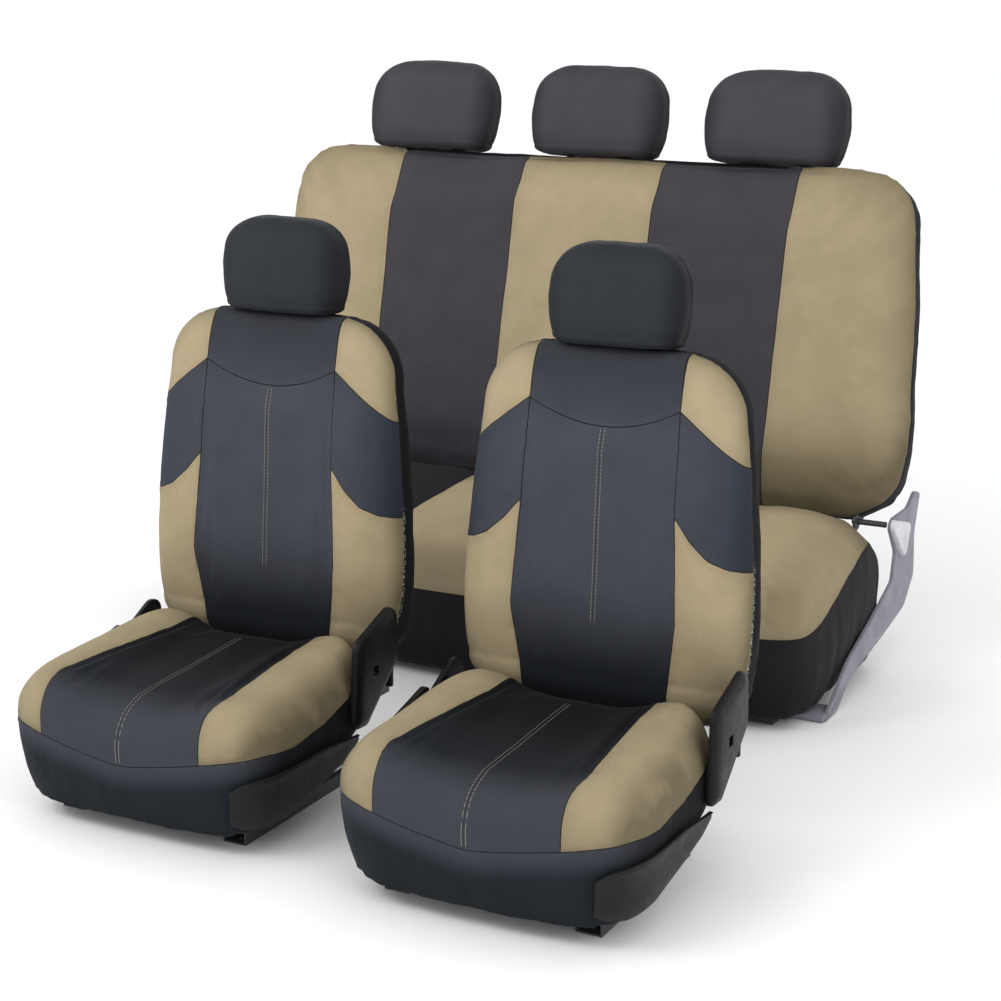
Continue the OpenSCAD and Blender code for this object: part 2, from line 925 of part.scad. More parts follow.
module on_bench_top(place) {
  on_bench_back()
  translate([place * bench_rest_spacing, bench_post_y, bench_back_length + rest_gap])
  children();
}

bench_rest_depth = 56;

module bench_posts(place) {
  on_bench_top(place)
  headrest_posts();
}

module bench_rest_foam(place) {
  on_bench_top(place)
  headrest_foam(bench_rest_half, bench_rest_height, bench_rest_depth, rest_forward);
}

module bench_rest_cover(place) {
  on_bench_top(place)
  headrest_cover(bench_rest_half, bench_rest_height, bench_rest_depth, rest_forward);
}

// ---- one front seat's piece, by name ----

module seat_piece(place, name) {
  translate(place) {
    if (name == "outer_rail") translate([rail_x, 0, 0]) rail();
    if (name == "inner_rail") translate([-rail_x, 0, 0]) rail();
    if (name == "outer_runner") translate([rail_x, 0, 0]) runner();
    if (name == "inner_runner") translate([-rail_x, 0, 0]) runner();
    if (name == "seat_pan") seat_pan();
    if (name == "cushion_foam") cushion_foam();
    if (name == "cushion_cover") cushion_cover();
    if (name == "side_shield") side_shield();
    if (name == "recliner_cover") recliner_cover();
    if (name == "far_recliner_cover") far_recliner_cover();
    if (name == "pivot_pins") front_pivot_pins();
    if (name == "back_frame") back_frame();
    if (name == "back_foam") back_foam();
    if (name == "back_cover") back_cover();
    if (name == "post_guides") front_guides();
    if (name == "headrest_posts") on_back_top() headrest_posts();
    if (name == "headrest_foam")
      on_back_top() headrest_foam(rest_half, rest_height, rest_depth, rest_forward);
    if (name == "headrest_cover")
      on_back_top() headrest_cover(rest_half, rest_height, rest_depth, rest_forward);
    if (name == "recliner_lever") recliner_lever();
    if (name == "slide_bar") slide_bar();
  }
}

seat_piece(right_seat, "outer_rail");  // right_outer_rail
seat_piece(right_seat, "inner_rail");  // right_inner_rail
seat_piece(right_seat, "outer_runner");  // right_outer_runner
seat_piece(right_seat, "inner_runner");  // right_inner_runner
seat_piece(right_seat, "seat_pan");  // right_seat_pan
seat_piece(right_seat, "cushion_foam");  // right_cushion_foam
seat_piece(right_seat, "cushion_cover");  // right_cushion_cover
seat_piece(right_seat, "side_shield");  // right_side_shield
seat_piece(right_seat, "recliner_cover");  // right_recliner_cover
seat_piece(right_seat, "far_recliner_cover");  // right_far_recliner_cover
seat_piece(right_seat, "pivot_pins");  // right_pivot_pins
seat_piece(right_seat, "back_frame");  // right_back_frame
seat_piece(right_seat, "back_foam");  // right_back_foam
seat_piece(right_seat, "back_cover");  // right_back_cover
seat_piece(right_seat, "post_guides");  // right_post_guides
seat_piece(right_seat, "headrest_posts");  // right_headrest_posts
seat_piece(right_seat, "headrest_foam");  // right_headrest_foam
seat_piece(right_seat, "headrest_cover");  // right_headrest_cover
seat_piece(right_seat, "recliner_lever");  // right_recliner_lever
seat_piece(right_seat, "slide_bar");  // right_slide_bar

seat_piece(left_seat, "outer_rail");  // left_outer_rail
seat_piece(left_seat, "inner_rail");  // left_inner_rail
seat_piece(left_seat, "outer_runner");  // left_outer_runner
seat_piece(left_seat, "inner_runner");  // left_inner_runner
seat_piece(left_seat, "seat_pan");  // left_seat_pan
seat_piece(left_seat, "cushion_foam");  // left_cushion_foam
seat_piece(left_seat, "cushion_cover");  // left_cushion_cover
seat_piece(left_seat, "side_shield");  // left_side_shield
seat_piece(left_seat, "recliner_cover");  // left_recliner_cover
seat_piece(left_seat, "far_recliner_cover");  // left_far_recliner_cover
seat_piece(left_seat, "pivot_pins");  // left_pivot_pins
seat_piece(left_seat, "back_frame");  // left_back_frame
seat_piece(left_seat, "back_foam");  // left_back_foam
seat_piece(left_seat, "back_cover");  // left_back_cover
seat_piece(left_seat, "post_guides");  // left_post_guides
seat_piece(left_seat, "headrest_posts");  // left_headrest_posts
seat_piece(left_seat, "headrest_foam");  // left_headrest_foam
seat_piece(left_seat, "headrest_cover");  // left_headrest_cover
seat_piece(left_seat, "recliner_lever");  // left_recliner_lever
seat_piece(left_seat, "slide_bar");  // left_slide_bar

translate(bench) bench_base_board();
translate(bench) bench_cushion_foam();
translate(bench) bench_cushion_cover();
translate(bench) bench_bracket(-1);  // bench_left_bracket
translate(bench) bench_bracket(1);  // bench_right_bracket
translate(bench) bench_bracket_caps();
translate(bench) bench_pins();  // bench_pivot_pins
translate(bench) bench_back_frame();
translate(bench) bench_back_foam();
translate(bench) bench_back_cover();
translate(bench) bench_guides();  // bench_post_guides
translate(bench) bench_posts(-1);  // bench_left_posts
translate(bench) bench_rest_foam(-1);  // bench_left_headrest_foam
translate(bench) bench_rest_cover(-1);  // bench_left_headrest_cover
translate(bench) bench_posts(0);  // bench_middle_posts
translate(bench) bench_rest_foam(0);  // bench_middle_headrest_foam
translate(bench) bench_rest_cover(0);  // bench_middle_headrest_cover
translate(bench) bench_posts(1);  // bench_right_posts
translate(bench) bench_rest_foam(1);  // bench_right_headrest_foam
translate(bench) bench_rest_cover(1);  // bench_right_headrest_cover
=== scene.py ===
import math

import bmesh
import bpy
import numpy as np
from mathutils import Matrix, Vector, noise
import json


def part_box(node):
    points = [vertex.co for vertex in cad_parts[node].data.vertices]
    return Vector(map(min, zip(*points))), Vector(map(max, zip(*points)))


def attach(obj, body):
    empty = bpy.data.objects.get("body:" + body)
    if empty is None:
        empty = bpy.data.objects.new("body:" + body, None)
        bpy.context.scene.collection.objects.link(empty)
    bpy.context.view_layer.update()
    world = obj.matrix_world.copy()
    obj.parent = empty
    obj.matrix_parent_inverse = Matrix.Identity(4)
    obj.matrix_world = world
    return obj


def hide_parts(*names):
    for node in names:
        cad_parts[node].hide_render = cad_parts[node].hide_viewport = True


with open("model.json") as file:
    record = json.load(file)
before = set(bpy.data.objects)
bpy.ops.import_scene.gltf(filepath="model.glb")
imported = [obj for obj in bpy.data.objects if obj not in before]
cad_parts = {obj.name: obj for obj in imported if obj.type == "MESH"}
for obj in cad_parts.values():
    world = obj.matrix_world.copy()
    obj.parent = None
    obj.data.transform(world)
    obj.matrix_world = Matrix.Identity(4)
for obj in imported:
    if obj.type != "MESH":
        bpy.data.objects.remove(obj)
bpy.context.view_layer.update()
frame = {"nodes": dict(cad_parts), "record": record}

# each seat's own zero point, found from its pan or board, and how its back leans
standing = {
    "panFront": -0.350,
    "boardMiddle": -0.200,
}


def seatPlace(side):
    low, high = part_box(side + "_seat_pan")
    return Vector(((low[0] + high[0]) / 2, low[1] - standing["panFront"], 0.0))


def benchPlace():
    low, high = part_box("bench_base_board")
    return Vector(((low[0] + high[0]) / 2, (low[1] + high[1]) / 2 - standing["boardMiddle"], 0.0))


place = {
    "right": seatPlace("right"),
    "left": seatPlace("left"),
    "bench": benchPlace(),
}
lean = {
    "frontPivot": Vector((0, 0.035, 0.228)),
    "frontAngle": math.radians(-4.5),
    "benchPivot": Vector((0, 0.070, 0.300)),
    "benchAngle": math.radians(-12.8),
}


def backFrame(seat):
    bench = seat == "bench"
    pivot = lean["benchPivot"] if bench else lean["frontPivot"]
    angle = lean["benchAngle"] if bench else lean["frontAngle"]
    return Matrix.Translation(place[seat] + pivot) @ Matrix.Rotation(angle, 4, "X")


def blendValue(x, knots):
    return np.interp(x, [k[0] for k in knots], [k[1] for k in knots])


def smoothStep(x, low, high):
    t = np.clip((x - low) / (high - low), 0, 1)
    return t * t * (3 - 2 * t)


def signedPower(v, e):
    return np.sign(v) * np.abs(v) ** e


# rings of points and the meshes made from them

def roundedRing(halfWidth, front, rear, height, square, count, bulge=0.0):
    angle = np.arange(count) * 2 * math.pi / count
    x = halfWidth * signedPower(np.cos(angle), 2 / square)
    y = (front + rear) / 2 + (rear - front) / 2 * signedPower(np.sin(angle), 2 / square)
    y -= np.where(np.sin(angle) < 0, bulge * bolsterShare(np.abs(x) / halfWidth), 0)
    return np.stack([x, y, np.full(count, height)], axis=1)


bolster = {
    "start": 0.3,
    "skew": 1.3,
}


def bolsterShare(u):
    # nothing in the middle, fullest near the sides, nothing again at the edge
    t = np.clip((u - bolster["start"]) / (1 - bolster["start"]), 0, 1)
    return np.sin(math.pi * t ** bolster["skew"])


def loftRings(name, rings):
    bm = bmesh.new()
    loops = []
    for ring in rings:
        made = bmesh.ops.create_circle(bm, cap_ends=False, segments=len(ring), radius=1)
        for vert, point in zip(made["verts"], ring):
            vert.co = point
        loops.append(list({edge for vert in made["verts"] for edge in vert.link_edges}))
    for low, high in zip(loops, loops[1:]):
        bmesh.ops.bridge_loops(bm, edges=low + high)
    for end in (loops[0], loops[-1]):
        bmesh.ops.contextual_create(bm, geom=end)
    bmesh.ops.recalc_face_normals(bm, faces=bm.faces)
    return finishMesh(name, bm)


def finishMesh(name, bm, smooth=True):
    mesh = bpy.data.meshes.new(name)
    bm.to_mesh(mesh)
    bm.free()
    for polygon in mesh.polygons:
        polygon.use_smooth = smooth
    obj = bpy.data.objects.new(name, mesh)
    bpy.context.collection.objects.link(obj)
    return obj


def bakeModifiers(obj):
    graph = bpy.context.evaluated_depsgraph_get()
    mesh = bpy.data.meshes.new_from_object(obj.evaluated_get(graph))
    obj.modifiers.clear()
    old = obj.data
    obj.data = mesh
    bpy.data.meshes.remove(old)
    for polygon in obj.data.polygons:
        polygon.use_smooth = True


def evenMesh(obj, size, smoothing):
    remesh = obj.modifiers.new("Remesh", "REMESH")
    remesh.mode = "VOXEL"
    remesh.voxel_size = size
    relax = obj.modifiers.new("Smooth", "SMOOTH")
    relax.factor = 0.5
    relax.iterations = smoothing
    bakeModifiers(obj)


def halveFaces(obj):
    finer = obj.modifiers.new("Subdivision", "SUBSURF")
    finer.levels = 1
    finer.render_levels = 1
    bakeModifiers(obj)


cushioning = {
    "pressure": 4.0,
    "frames": 20,
    "inset": 0.003,
    "mass": 0.25,
    "tension": 18.0,
    "bending": 0.4,
}


def puffUp(obj, held, cap):
    # the cloth swells between its seams, which stay where they are
    start = readPoints(obj)
    writePoints(obj, start - readNormals(obj) * cushioning["inset"] * (~held)[:, None])
    group = obj.vertex_groups.new(name="held")
    group.add(np.nonzero(held)[0].tolist(), 1.0, "REPLACE")
    cloth = obj.modifiers.new("Cloth", "CLOTH")
    cloth.settings.use_pressure = True
    cloth.settings.uniform_pressure_force = cushioning["pressure"]
    cloth.settings.effector_weights.gravity = 0
    cloth.settings.quality = 4
    cloth.settings.mass = cushioning["mass"]
    cloth.settings.tension_stiffness = cushioning["tension"]
    cloth.settings.compression_stiffness = cushioning["tension"]
    cloth.settings.bending_stiffness = cushioning["bending"]
    cloth.settings.vertex_group_mass = "held"
    cloth.point_cache.frame_end = cushioning["frames"]
    for frameNumber in range(1, cushioning["frames"] + 1):
        bpy.context.scene.frame_set(frameNumber)
    bakeModifiers(obj)
    obj.vertex_groups.clear()
    bpy.context.scene.frame_set(1)
    moved = readPoints(obj) - start
    reach = np.linalg.norm(moved, axis=1)
    writePoints(obj, start + moved * np.minimum(1, cap / np.maximum(reach, 1e-9))[:, None])


def readPoints(obj):
    data = np.empty(len(obj.data.vertices) * 3)
    obj.data.vertices.foreach_get("co", data)
    return data.reshape(-1, 3)


def readNormals(obj):
    data = np.empty(len(obj.data.vertices) * 3)
    obj.data.vertices.foreach_get("normal", data)
    return data.reshape(-1, 3)


def writePoints(obj, points):
    obj.data.vertices.foreach_set("co", points.ravel())
    obj.data.update()


def storeValue(obj, name, values):
    layer = obj.data.attributes.new(name, "FLOAT", "POINT")
    layer.data.foreach_set("value", np.asarray(values, dtype=np.float32))


def storeTint(obj, name, colours):
    layer = obj.data.attributes.new(name, "FLOAT_COLOR", "POINT")
    full = np.concatenate([colours, np.ones((len(colours), 1))], axis=1)
    layer.data.foreach_set("color", full.astype(np.float32).ravel())


def insideDistance(points, outline):
    # positive inside the outline, negative outside
    corner = np.asarray(outline, dtype=float)
    after = np.roll(corner, -1, axis=0)
    best = np.full(len(points), 1e9)
    inside = np.zeros(len(points), dtype=bool)
    for a, b in zip(corner, after):
        step = b - a
        share = np.clip(((points - a) @ step) / (step @ step), 0, 1)
        best = np.minimum(best, np.linalg.norm(points - a - share[:, None] * step, axis=1))
        if a[1] != b[1]:
            crosses = (a[1] > points[:, 1]) != (b[1] > points[:, 1])
            at = a[0] + (points[:, 1] - a[1]) * step[0] / step[1]
            inside ^= crosses & (points[:, 0] < at)
    return np.where(inside, best, -best)


def softNoise(points, scale, seed, detail=3):
    offset = Vector((seed * 3.7, seed * 1.9, seed * 5.3))
    return np.array([noise.fractal(Vector(p) * scale + offset, 0.9, 2.0, detail) for p in points])


def toPlace(obj, matrix):
    obj.data.transform(matrix)
    obj.data.update()


# materials

class NodeMaker:
    def __init__(self, name):
        self.material = bpy.data.materials.new(name)
        self.material.use_nodes = True
        self.tree = self.material.node_tree
        self.shader = self.tree.nodes["Principled BSDF"]

    def add(self, kind, **settings):
        node = self.tree.nodes.new(kind)
        for key, value in settings.items():
            setattr(node, key, value)
        return node

    def link(self, source, target):
        self.tree.links.new(source, target)
        return target

    def math(self, operation, a, b=None, clamp=False):
        node = self.add("ShaderNodeMath", operation=operation, use_clamp=clamp)
        for index, value in enumerate((a, b)):
            if value is None:
                continue
            if isinstance(value, (int, float)):
                node.inputs[index].default_value = value
            else:
                self.link(value, node.inputs[index])
        return node.outputs[0]

    def span(self, value, low, high, fromValue=0.0, toValue=1.0):
        node = self.add("ShaderNodeMapRange", interpolation_type="SMOOTHSTEP")
        self.link(value, node.inputs["Value"])
        node.inputs["From Min"].default_value = low
        node.inputs["From Max"].default_value = high
        node.inputs["To Min"].default_value = fromValue
        node.inputs["To Max"].default_value = toValue
        return node.outputs["Result"]

    def mix(self, factor, a, b, blend="MIX"):
        node = self.add("ShaderNodeMix", data_type="RGBA", blend_type=blend)
        sockets = [node.inputs[0], node.inputs[6], node.inputs[7]]
        for socket, value in zip(sockets, (factor, a, b)):
            if isinstance(value, (int, float)):
                socket.default_value = value
            elif isinstance(value, tuple):
                socket.default_value = (*value, 1.0)
            else:
                self.link(value, socket)
        return node.outputs[2]

    def value(self, name):
        return self.add("ShaderNodeAttribute", attribute_name=name).outputs["Fac"]

    def tint(self, name):
        return self.add("ShaderNodeAttribute", attribute_name=name).outputs["Color"]

    def grain(self, scale, detail=2.0, rough=0.5):
        coords = self.add("ShaderNodeTexCoord")
        node = self.add("ShaderNodeTexNoise")
        node.inputs["Scale"].default_value = scale
        node.inputs["Detail"].default_value = detail
        node.inputs["Roughness"].default_value = rough
        self.link(coords.outputs["Object"], node.inputs["Vector"])
        return node.outputs["Fac"]

    def bump(self, height, strength, distance, normal=None):
        node = self.add("ShaderNodeBump")
        node.inputs["Strength"].default_value = strength
        node.inputs["Distance"].default_value = distance
        self.link(height, node.inputs["Height"])
        if normal is not None:
            self.link(normal, node.inputs["Normal"])
        return node.outputs["Normal"]


def weave(maker, pitch):
    # fine rib of a knitted fabric, in two crossed directions
    coords = maker.add("ShaderNodeTexCoord")
    heights = []
    for direction in ("X", "Z"):
        wave = maker.add("ShaderNodeTexWave", wave_type="BANDS", bands_direction=direction)
        wave.inputs["Scale"].default_value = 1 / (pitch * 3.2)
        wave.inputs["Distortion"].default_value = 0.6
        wave.inputs["Detail"].default_value = 1.0
        maker.link(coords.outputs["Object"], wave.inputs["Vector"])
        heights.append(wave.outputs["Fac"])
    return maker.math("MULTIPLY", heights[0], heights[1])


fabricLook = {
    "pitch": 0.0016,
    "rough": 0.78,
    "sheen": 0.02,
    "sheenRough": 0.5,
    "specular": 0.10,
    "stitch": (0.23, 0.21, 0.165),
    "fray": (0.40, 0.39, 0.32),
    "stitchGap": 0.0036,
    "stitchPitch": 0.0062,
    "seamWidth": 0.0017,
    "seamHighlight": 0.10,
}


seamNames = ("seamA", "seamB", "seamC", "seamD")


def fabricMaterial(name, look, rough=None):
    maker = NodeMaker(name)
    # the dark and tan tints stored on each cover carry its cloth colours with painted shade and painted light
    # baked in
    cloth = maker.mix(maker.span(maker.value("tanEdge"), -0.0004, 0.0004),
                      maker.tint("darkTint"), maker.tint("tanTint"))
    mottle = maker.span(maker.grain(14, 4, 0.6), 0.3, 0.7, 0.95, 1.05)
    threads = weave(maker, look["pitch"])
    fleck = maker.span(maker.grain(900, 1, 0.5), 0.3, 0.7, 0.92, 1.08)
    tone = maker.math("MULTIPLY", mottle, maker.span(threads, 0.0, 1.0, 0.95, 1.05))
    tone = maker.math("MULTIPLY", tone, fleck)
    seam = None
    for seamName in seamNames:
        distance = maker.math("ABSOLUTE", maker.value(seamName))
        seam = distance if seam is None else maker.math("MINIMUM", seam, distance)
    # painted shade darkens each seam groove, and a painted highlight lightens a thin band beside it
    grooveShade = maker.span(seam, look["seamWidth"] * 0.3, look["seamWidth"], 0.22, 1.0)
    rim = maker.math("MULTIPLY", maker.span(seam, 0.0013, 0.0018), maker.span(seam, 0.0022, 0.0034, 1, 0))
    tone = maker.math("MULTIPLY", tone, grooveShade)
    tone = maker.math("ADD", tone, maker.math("MULTIPLY", rim, look["seamHighlight"]))
    shaded = maker.mix(1.0, cloth, greyColour(maker, tone), "MULTIPLY")
    row = maker.math("SUBTRACT", maker.math("ABSOLUTE", maker.value("stitchAcross")), look["stitchGap"])
    row = maker.math("ABSOLUTE", row)
    run = maker.math("FRACT", maker.math("DIVIDE", maker.value("stitchAlong"), look["stitchPitch"]))
    dash = maker.math("MULTIPLY", maker.span(row, 0.0003, 0.0007, 1, 0), maker.span(run, 0.64, 0.72, 1, 0))
    # painted shade along the fold between the two stitch rows
    foldShade = maker.span(maker.math("ABSOLUTE", maker.value("stitchAcross")), 0.0002, 0.0008, 0.45, 1.0)
    shaded = maker.mix(1.0, shaded, greyColour(maker, foldShade), "MULTIPLY")
    shaded = maker.mix(dash, shaded, look["stitch"])
    loose = maker.math("MULTIPLY", maker.value("fray"), maker.span(maker.grain(260, 2, 0.7), 0.53, 0.58))
    maker.link(maker.mix(loose, shaded, look["fray"]), maker.shader.inputs["Base Color"])
    height = maker.math("ADD", maker.math("MULTIPLY", threads, 0.5), maker.grain(700, 2, 0.6))
    height = maker.math("ADD", height, maker.math("MULTIPLY", dash, 2.0))
    first = maker.bump(maker.grain(55, 3, 0.55), 0.10, 0.004)
    maker.link(maker.bump(height, 0.20, 0.0006, first), maker.shader.inputs["Normal"])
    maker.shader.inputs["Roughness"].default_value = rough or look["rough"]
    maker.shader.inputs["Sheen Weight"].default_value = look["sheen"]
    maker.shader.inputs["Sheen Roughness"].default_value = look["sheenRough"]
    maker.shader.inputs["Specular IOR Level"].default_value = look["specular"]
    return maker.material


def greyColour(maker, value):
    node = maker.add("ShaderNodeCombineColor")
    for index in range(3):
        maker.link(value, node.inputs[index])
    return node.outputs[0]


def plasticMaterial(name, colour, rough, grainDepth=0.25):
    maker = NodeMaker(name)
    patch = maker.span(maker.grain(22, 4, 0.6), 0.3, 0.7, 0.86, 1.12)
    pebble = maker.grain(420, 2, 0.5)
    tone = maker.math("MULTIPLY", patch, maker.span(pebble, 0.3, 0.7, 0.93, 1.06))
    maker.link(maker.mix(1.0, colour, greyColour(maker, tone), "MULTIPLY"),
               maker.shader.inputs["Base Color"])
    maker.link(maker.bump(pebble, grainDepth, 0.0008), maker.shader.inputs["Normal"])
    maker.link(maker.span(maker.grain(60, 3, 0.6), 0.2, 0.8, rough - 0.06, rough + 0.08),
               maker.shader.inputs["Roughness"])
    maker.shader.inputs["Specular IOR Level"].default_value = 0.2
    return maker.material


def metalMaterial(name, colour, rough, metallic):
    maker = NodeMaker(name)
    brushed = maker.grain(180, 4, 0.7)
    tone = maker.span(brushed, 0.25, 0.75, 0.85, 1.1)
    maker.link(maker.mix(1.0, colour, greyColour(maker, tone), "MULTIPLY"),
               maker.shader.inputs["Base Color"])
    maker.link(maker.span(brushed, 0.2, 0.8, rough - 0.08, rough + 0.1),
               maker.shader.inputs["Roughness"])
    maker.shader.inputs["Metallic"].default_value = metallic
    return maker.material


# linear colours of the cloths and plastics
colour = {
    "tan": np.array([0.385, 0.312, 0.193]),
    "tanShadow": np.array([0.110, 0.092, 0.052]),
    "charcoal": np.array([0.053, 0.057, 0.071]),
    "navy": np.array([0.033, 0.041, 0.055]),
    "valance": np.array([0.010, 0.0135, 0.018]),
    "seatCentre": np.array([0.009, 0.011, 0.014]),
    "black": np.array([0.0030, 0.0034, 0.0042]),
    "violet": np.array([0.053, 0.050, 0.059]),
    "headrest": np.array([0.022, 0.025, 0.030]),
}

materials = {
    "frontBack": fabricMaterial("front back knit", fabricLook),
    "frontCushion": fabricMaterial("front cushion knit", fabricLook),
    "frontHeadrest": fabricMaterial("front headrest knit", fabricLook, 0.6),
    "benchBack": fabricMaterial("bench back knit", fabricLook),
    "benchCushion": fabricMaterial("bench cushion knit", fabricLook),
    "benchHeadrest": fabricMaterial("bench headrest knit", fabricLook, 0.7),
    "trim": plasticMaterial("moulded dark trim", (0.0085, 0.0088, 0.0088), 0.5),
    "recliner": plasticMaterial("moulded recliner cover", (0.0030, 0.0031, 0.0032), 0.42),
    "bracket": plasticMaterial("lavender grey moulding", (0.235, 0.235, 0.275), 0.5),
    "cap": plasticMaterial("pale cap", (0.62, 0.62, 0.66), 0.45),
    "guide": plasticMaterial("post guide", (0.03, 0.03, 0.033), 0.4, 0.1),
    "paintedSteel": metalMaterial("black painted steel", (0.05, 0.052, 0.056), 0.5, 0.1),
    "brightSteel": metalMaterial("brushed steel", (0.62, 0.63, 0.65), 0.3, 1.0),
}
print("materials made")


def mixTint(a, b, share):
    return colour[a] + (colour[b] - colour[a]) * np.asarray(share)[:, None]


def finishCover(obj, tanEdge, seams, darkTint, tanTint, stitchAcross, stitchAlong, material):
    storeValue(obj, "tanEdge", tanEdge)
    far = np.full(len(tanEdge), 1.0)
    for index, seamName in enumerate(seamNames):
        storeValue(obj, seamName, seams[index] if index < len(seams) else far)
    storeTint(obj, "darkTint", darkTint)
    storeTint(obj, "tanTint", tanTint)
    storeValue(obj, "stitchAcross", stitchAcross)
    storeValue(obj, "stitchAlong", stitchAlong)
    obj.data.materials.clear()
    obj.data.materials.append(material)


def nearest(seams):
    return np.minimum.reduce([np.abs(seam) for seam in seams])


frontSeam = {"depth": 0.0020, "width": 0.005, "swell": 0.0012, "reach": 0.04}
benchSeam = {"depth": 0.0024, "width": 0.007, "swell": 0.003, "reach": 0.08}
headrestSeam = {"depth": 0.0012, "width": 0.004, "swell": 0.0, "reach": 0.05}


def seamRelief(obj, distance, seam):
    # cloth dips at a seam and rounds up away from it
    push = seam["swell"] * smoothStep(distance, 0, seam["reach"])
    push -= seam["depth"] * np.exp(-(distance / seam["width"]) ** 2)
    writePoints(obj, readPoints(obj) + readNormals(obj) * push[:, None])


def ripple(obj, scale, height, seed, stretch=(1, 1, 1), share=1.0):
    points = readPoints(obj)
    lift = softNoise(points * np.array(stretch), scale, seed) * height * share
    writePoints(obj, points + readNormals(obj) * lift[:, None])


def coverFor(obj, body, slotName, fill, *nodes):
    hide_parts(*nodes)
    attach(obj, body)


# the cover of a front seat's back

frontBack = {
    "halfWidth": [(-0.024, 0.226), (0.004, 0.240), (0.03, 0.248), (0.06, 0.256), (0.10, 0.261), (0.17, 0.262),
                  (0.27, 0.258), (0.38, 0.248), (0.47, 0.236)],
    "bottom": -0.024,
    "top": 0.584,
    "front": -0.035,
    "rear": 0.085,
    "taper": 0.020,
    "shoulder": 0.110,
    "shoulderDepth": 0.024,
    "bottomTuck": 0.022,
    "square": 4.2,
    "count": 96,
    "bulge": [(0.04, 0.0), (0.14, 0.024), (0.36, 0.021), (0.48, 0.006), (0.57, 0.0)],
    "voxel": 0.0072,
    "cap": 0.007,
    "column": [(-0.1, 0.130), (0.027, 0.131), (0.15, 0.147), (0.24, 0.142), (0.317, 0.136),
               (0.493, 0.133), (0.6, 0.131)],
    "shoulderPanel": [(0.1325, 0.70), (0.133, 0.493), (0.268, 0.390), (0.40, 0.30), (0.40, 0.70)],
    "lowerPanel": [(0.40, -0.2), (0.40, 0.235), (0.275, 0.241), (0.230, 0.249), (0.198, 0.262),
                   (0.165, 0.290), (0.136, 0.326), (0.142, 0.24), (0.147, 0.15), (0.131, 0.027),
                   (0.13, -0.2)],
    "boxingSeam": 0.004,
    "yokeEnd": 0.492,
    "yokeDip": 0.036,
    "stitchBottom": 0.13,
}


def frontBackRings():
    v = frontBack
    rings = []
    low = v["top"] - v["shoulder"]
    heights = np.concatenate([[v["bottom"] + 0.0005, v["bottom"] + 0.006], np.linspace(0.02, low, 26)])
    for s in heights:
        tuck = v["bottomTuck"] * (1 - smoothStep(s, v["bottom"], v["bottom"] + 0.05))
        rings.append(roundedRing(blendValue(s, v["halfWidth"]) - tuck, v["front"] + tuck,
                                 v["rear"] - v["taper"] * s / v["top"] - tuck, s, v["square"], v["count"],
                                 blendValue(s, v["bulge"])))
    for angle in np.radians([10, 20, 30, 40, 50, 60, 69, 77, 84, 90]):
        s = low + v["shoulder"] * math.sin(angle)
        inward = v["shoulder"] * (1 - math.cos(angle))
        depthIn = v["shoulderDepth"] * (1 - math.cos(angle))
        rings.append(roundedRing(blendValue(low, v["halfWidth"]) - inward, v["front"] + depthIn,
                                 v["rear"] - v["taper"] - depthIn, s, v["square"], v["count"],
                                 blendValue(s, v["bulge"])))
    return rings


def frontBackPanels(points):
    v = frontBack
    u, y, s = points[:, 0], points[:, 1], points[:, 2]
    flat = np.stack([np.abs(u), s], axis=1)
    boxing = v["boxingSeam"] - y
    column = np.abs(u) - blendValue(s, v["column"])
    shoulder = insideDistance(flat, v["shoulderPanel"])
    lower = insideDistance(flat, v["lowerPanel"])
    yokeLine = v["yokeEnd"] - v["yokeDip"] * (1 - (u / 0.133) ** 2)
    yoke = np.where(np.abs(u) < 0.134, s - yokeLine, 1)
    tan = np.maximum(shoulder, lower)
    front = boxing > 0
    seams = [column, np.where(front, tan, 1), np.where(front, yoke, 1), boxing]
    return boxing, np.minimum(tan, boxing), seams, yokeLine


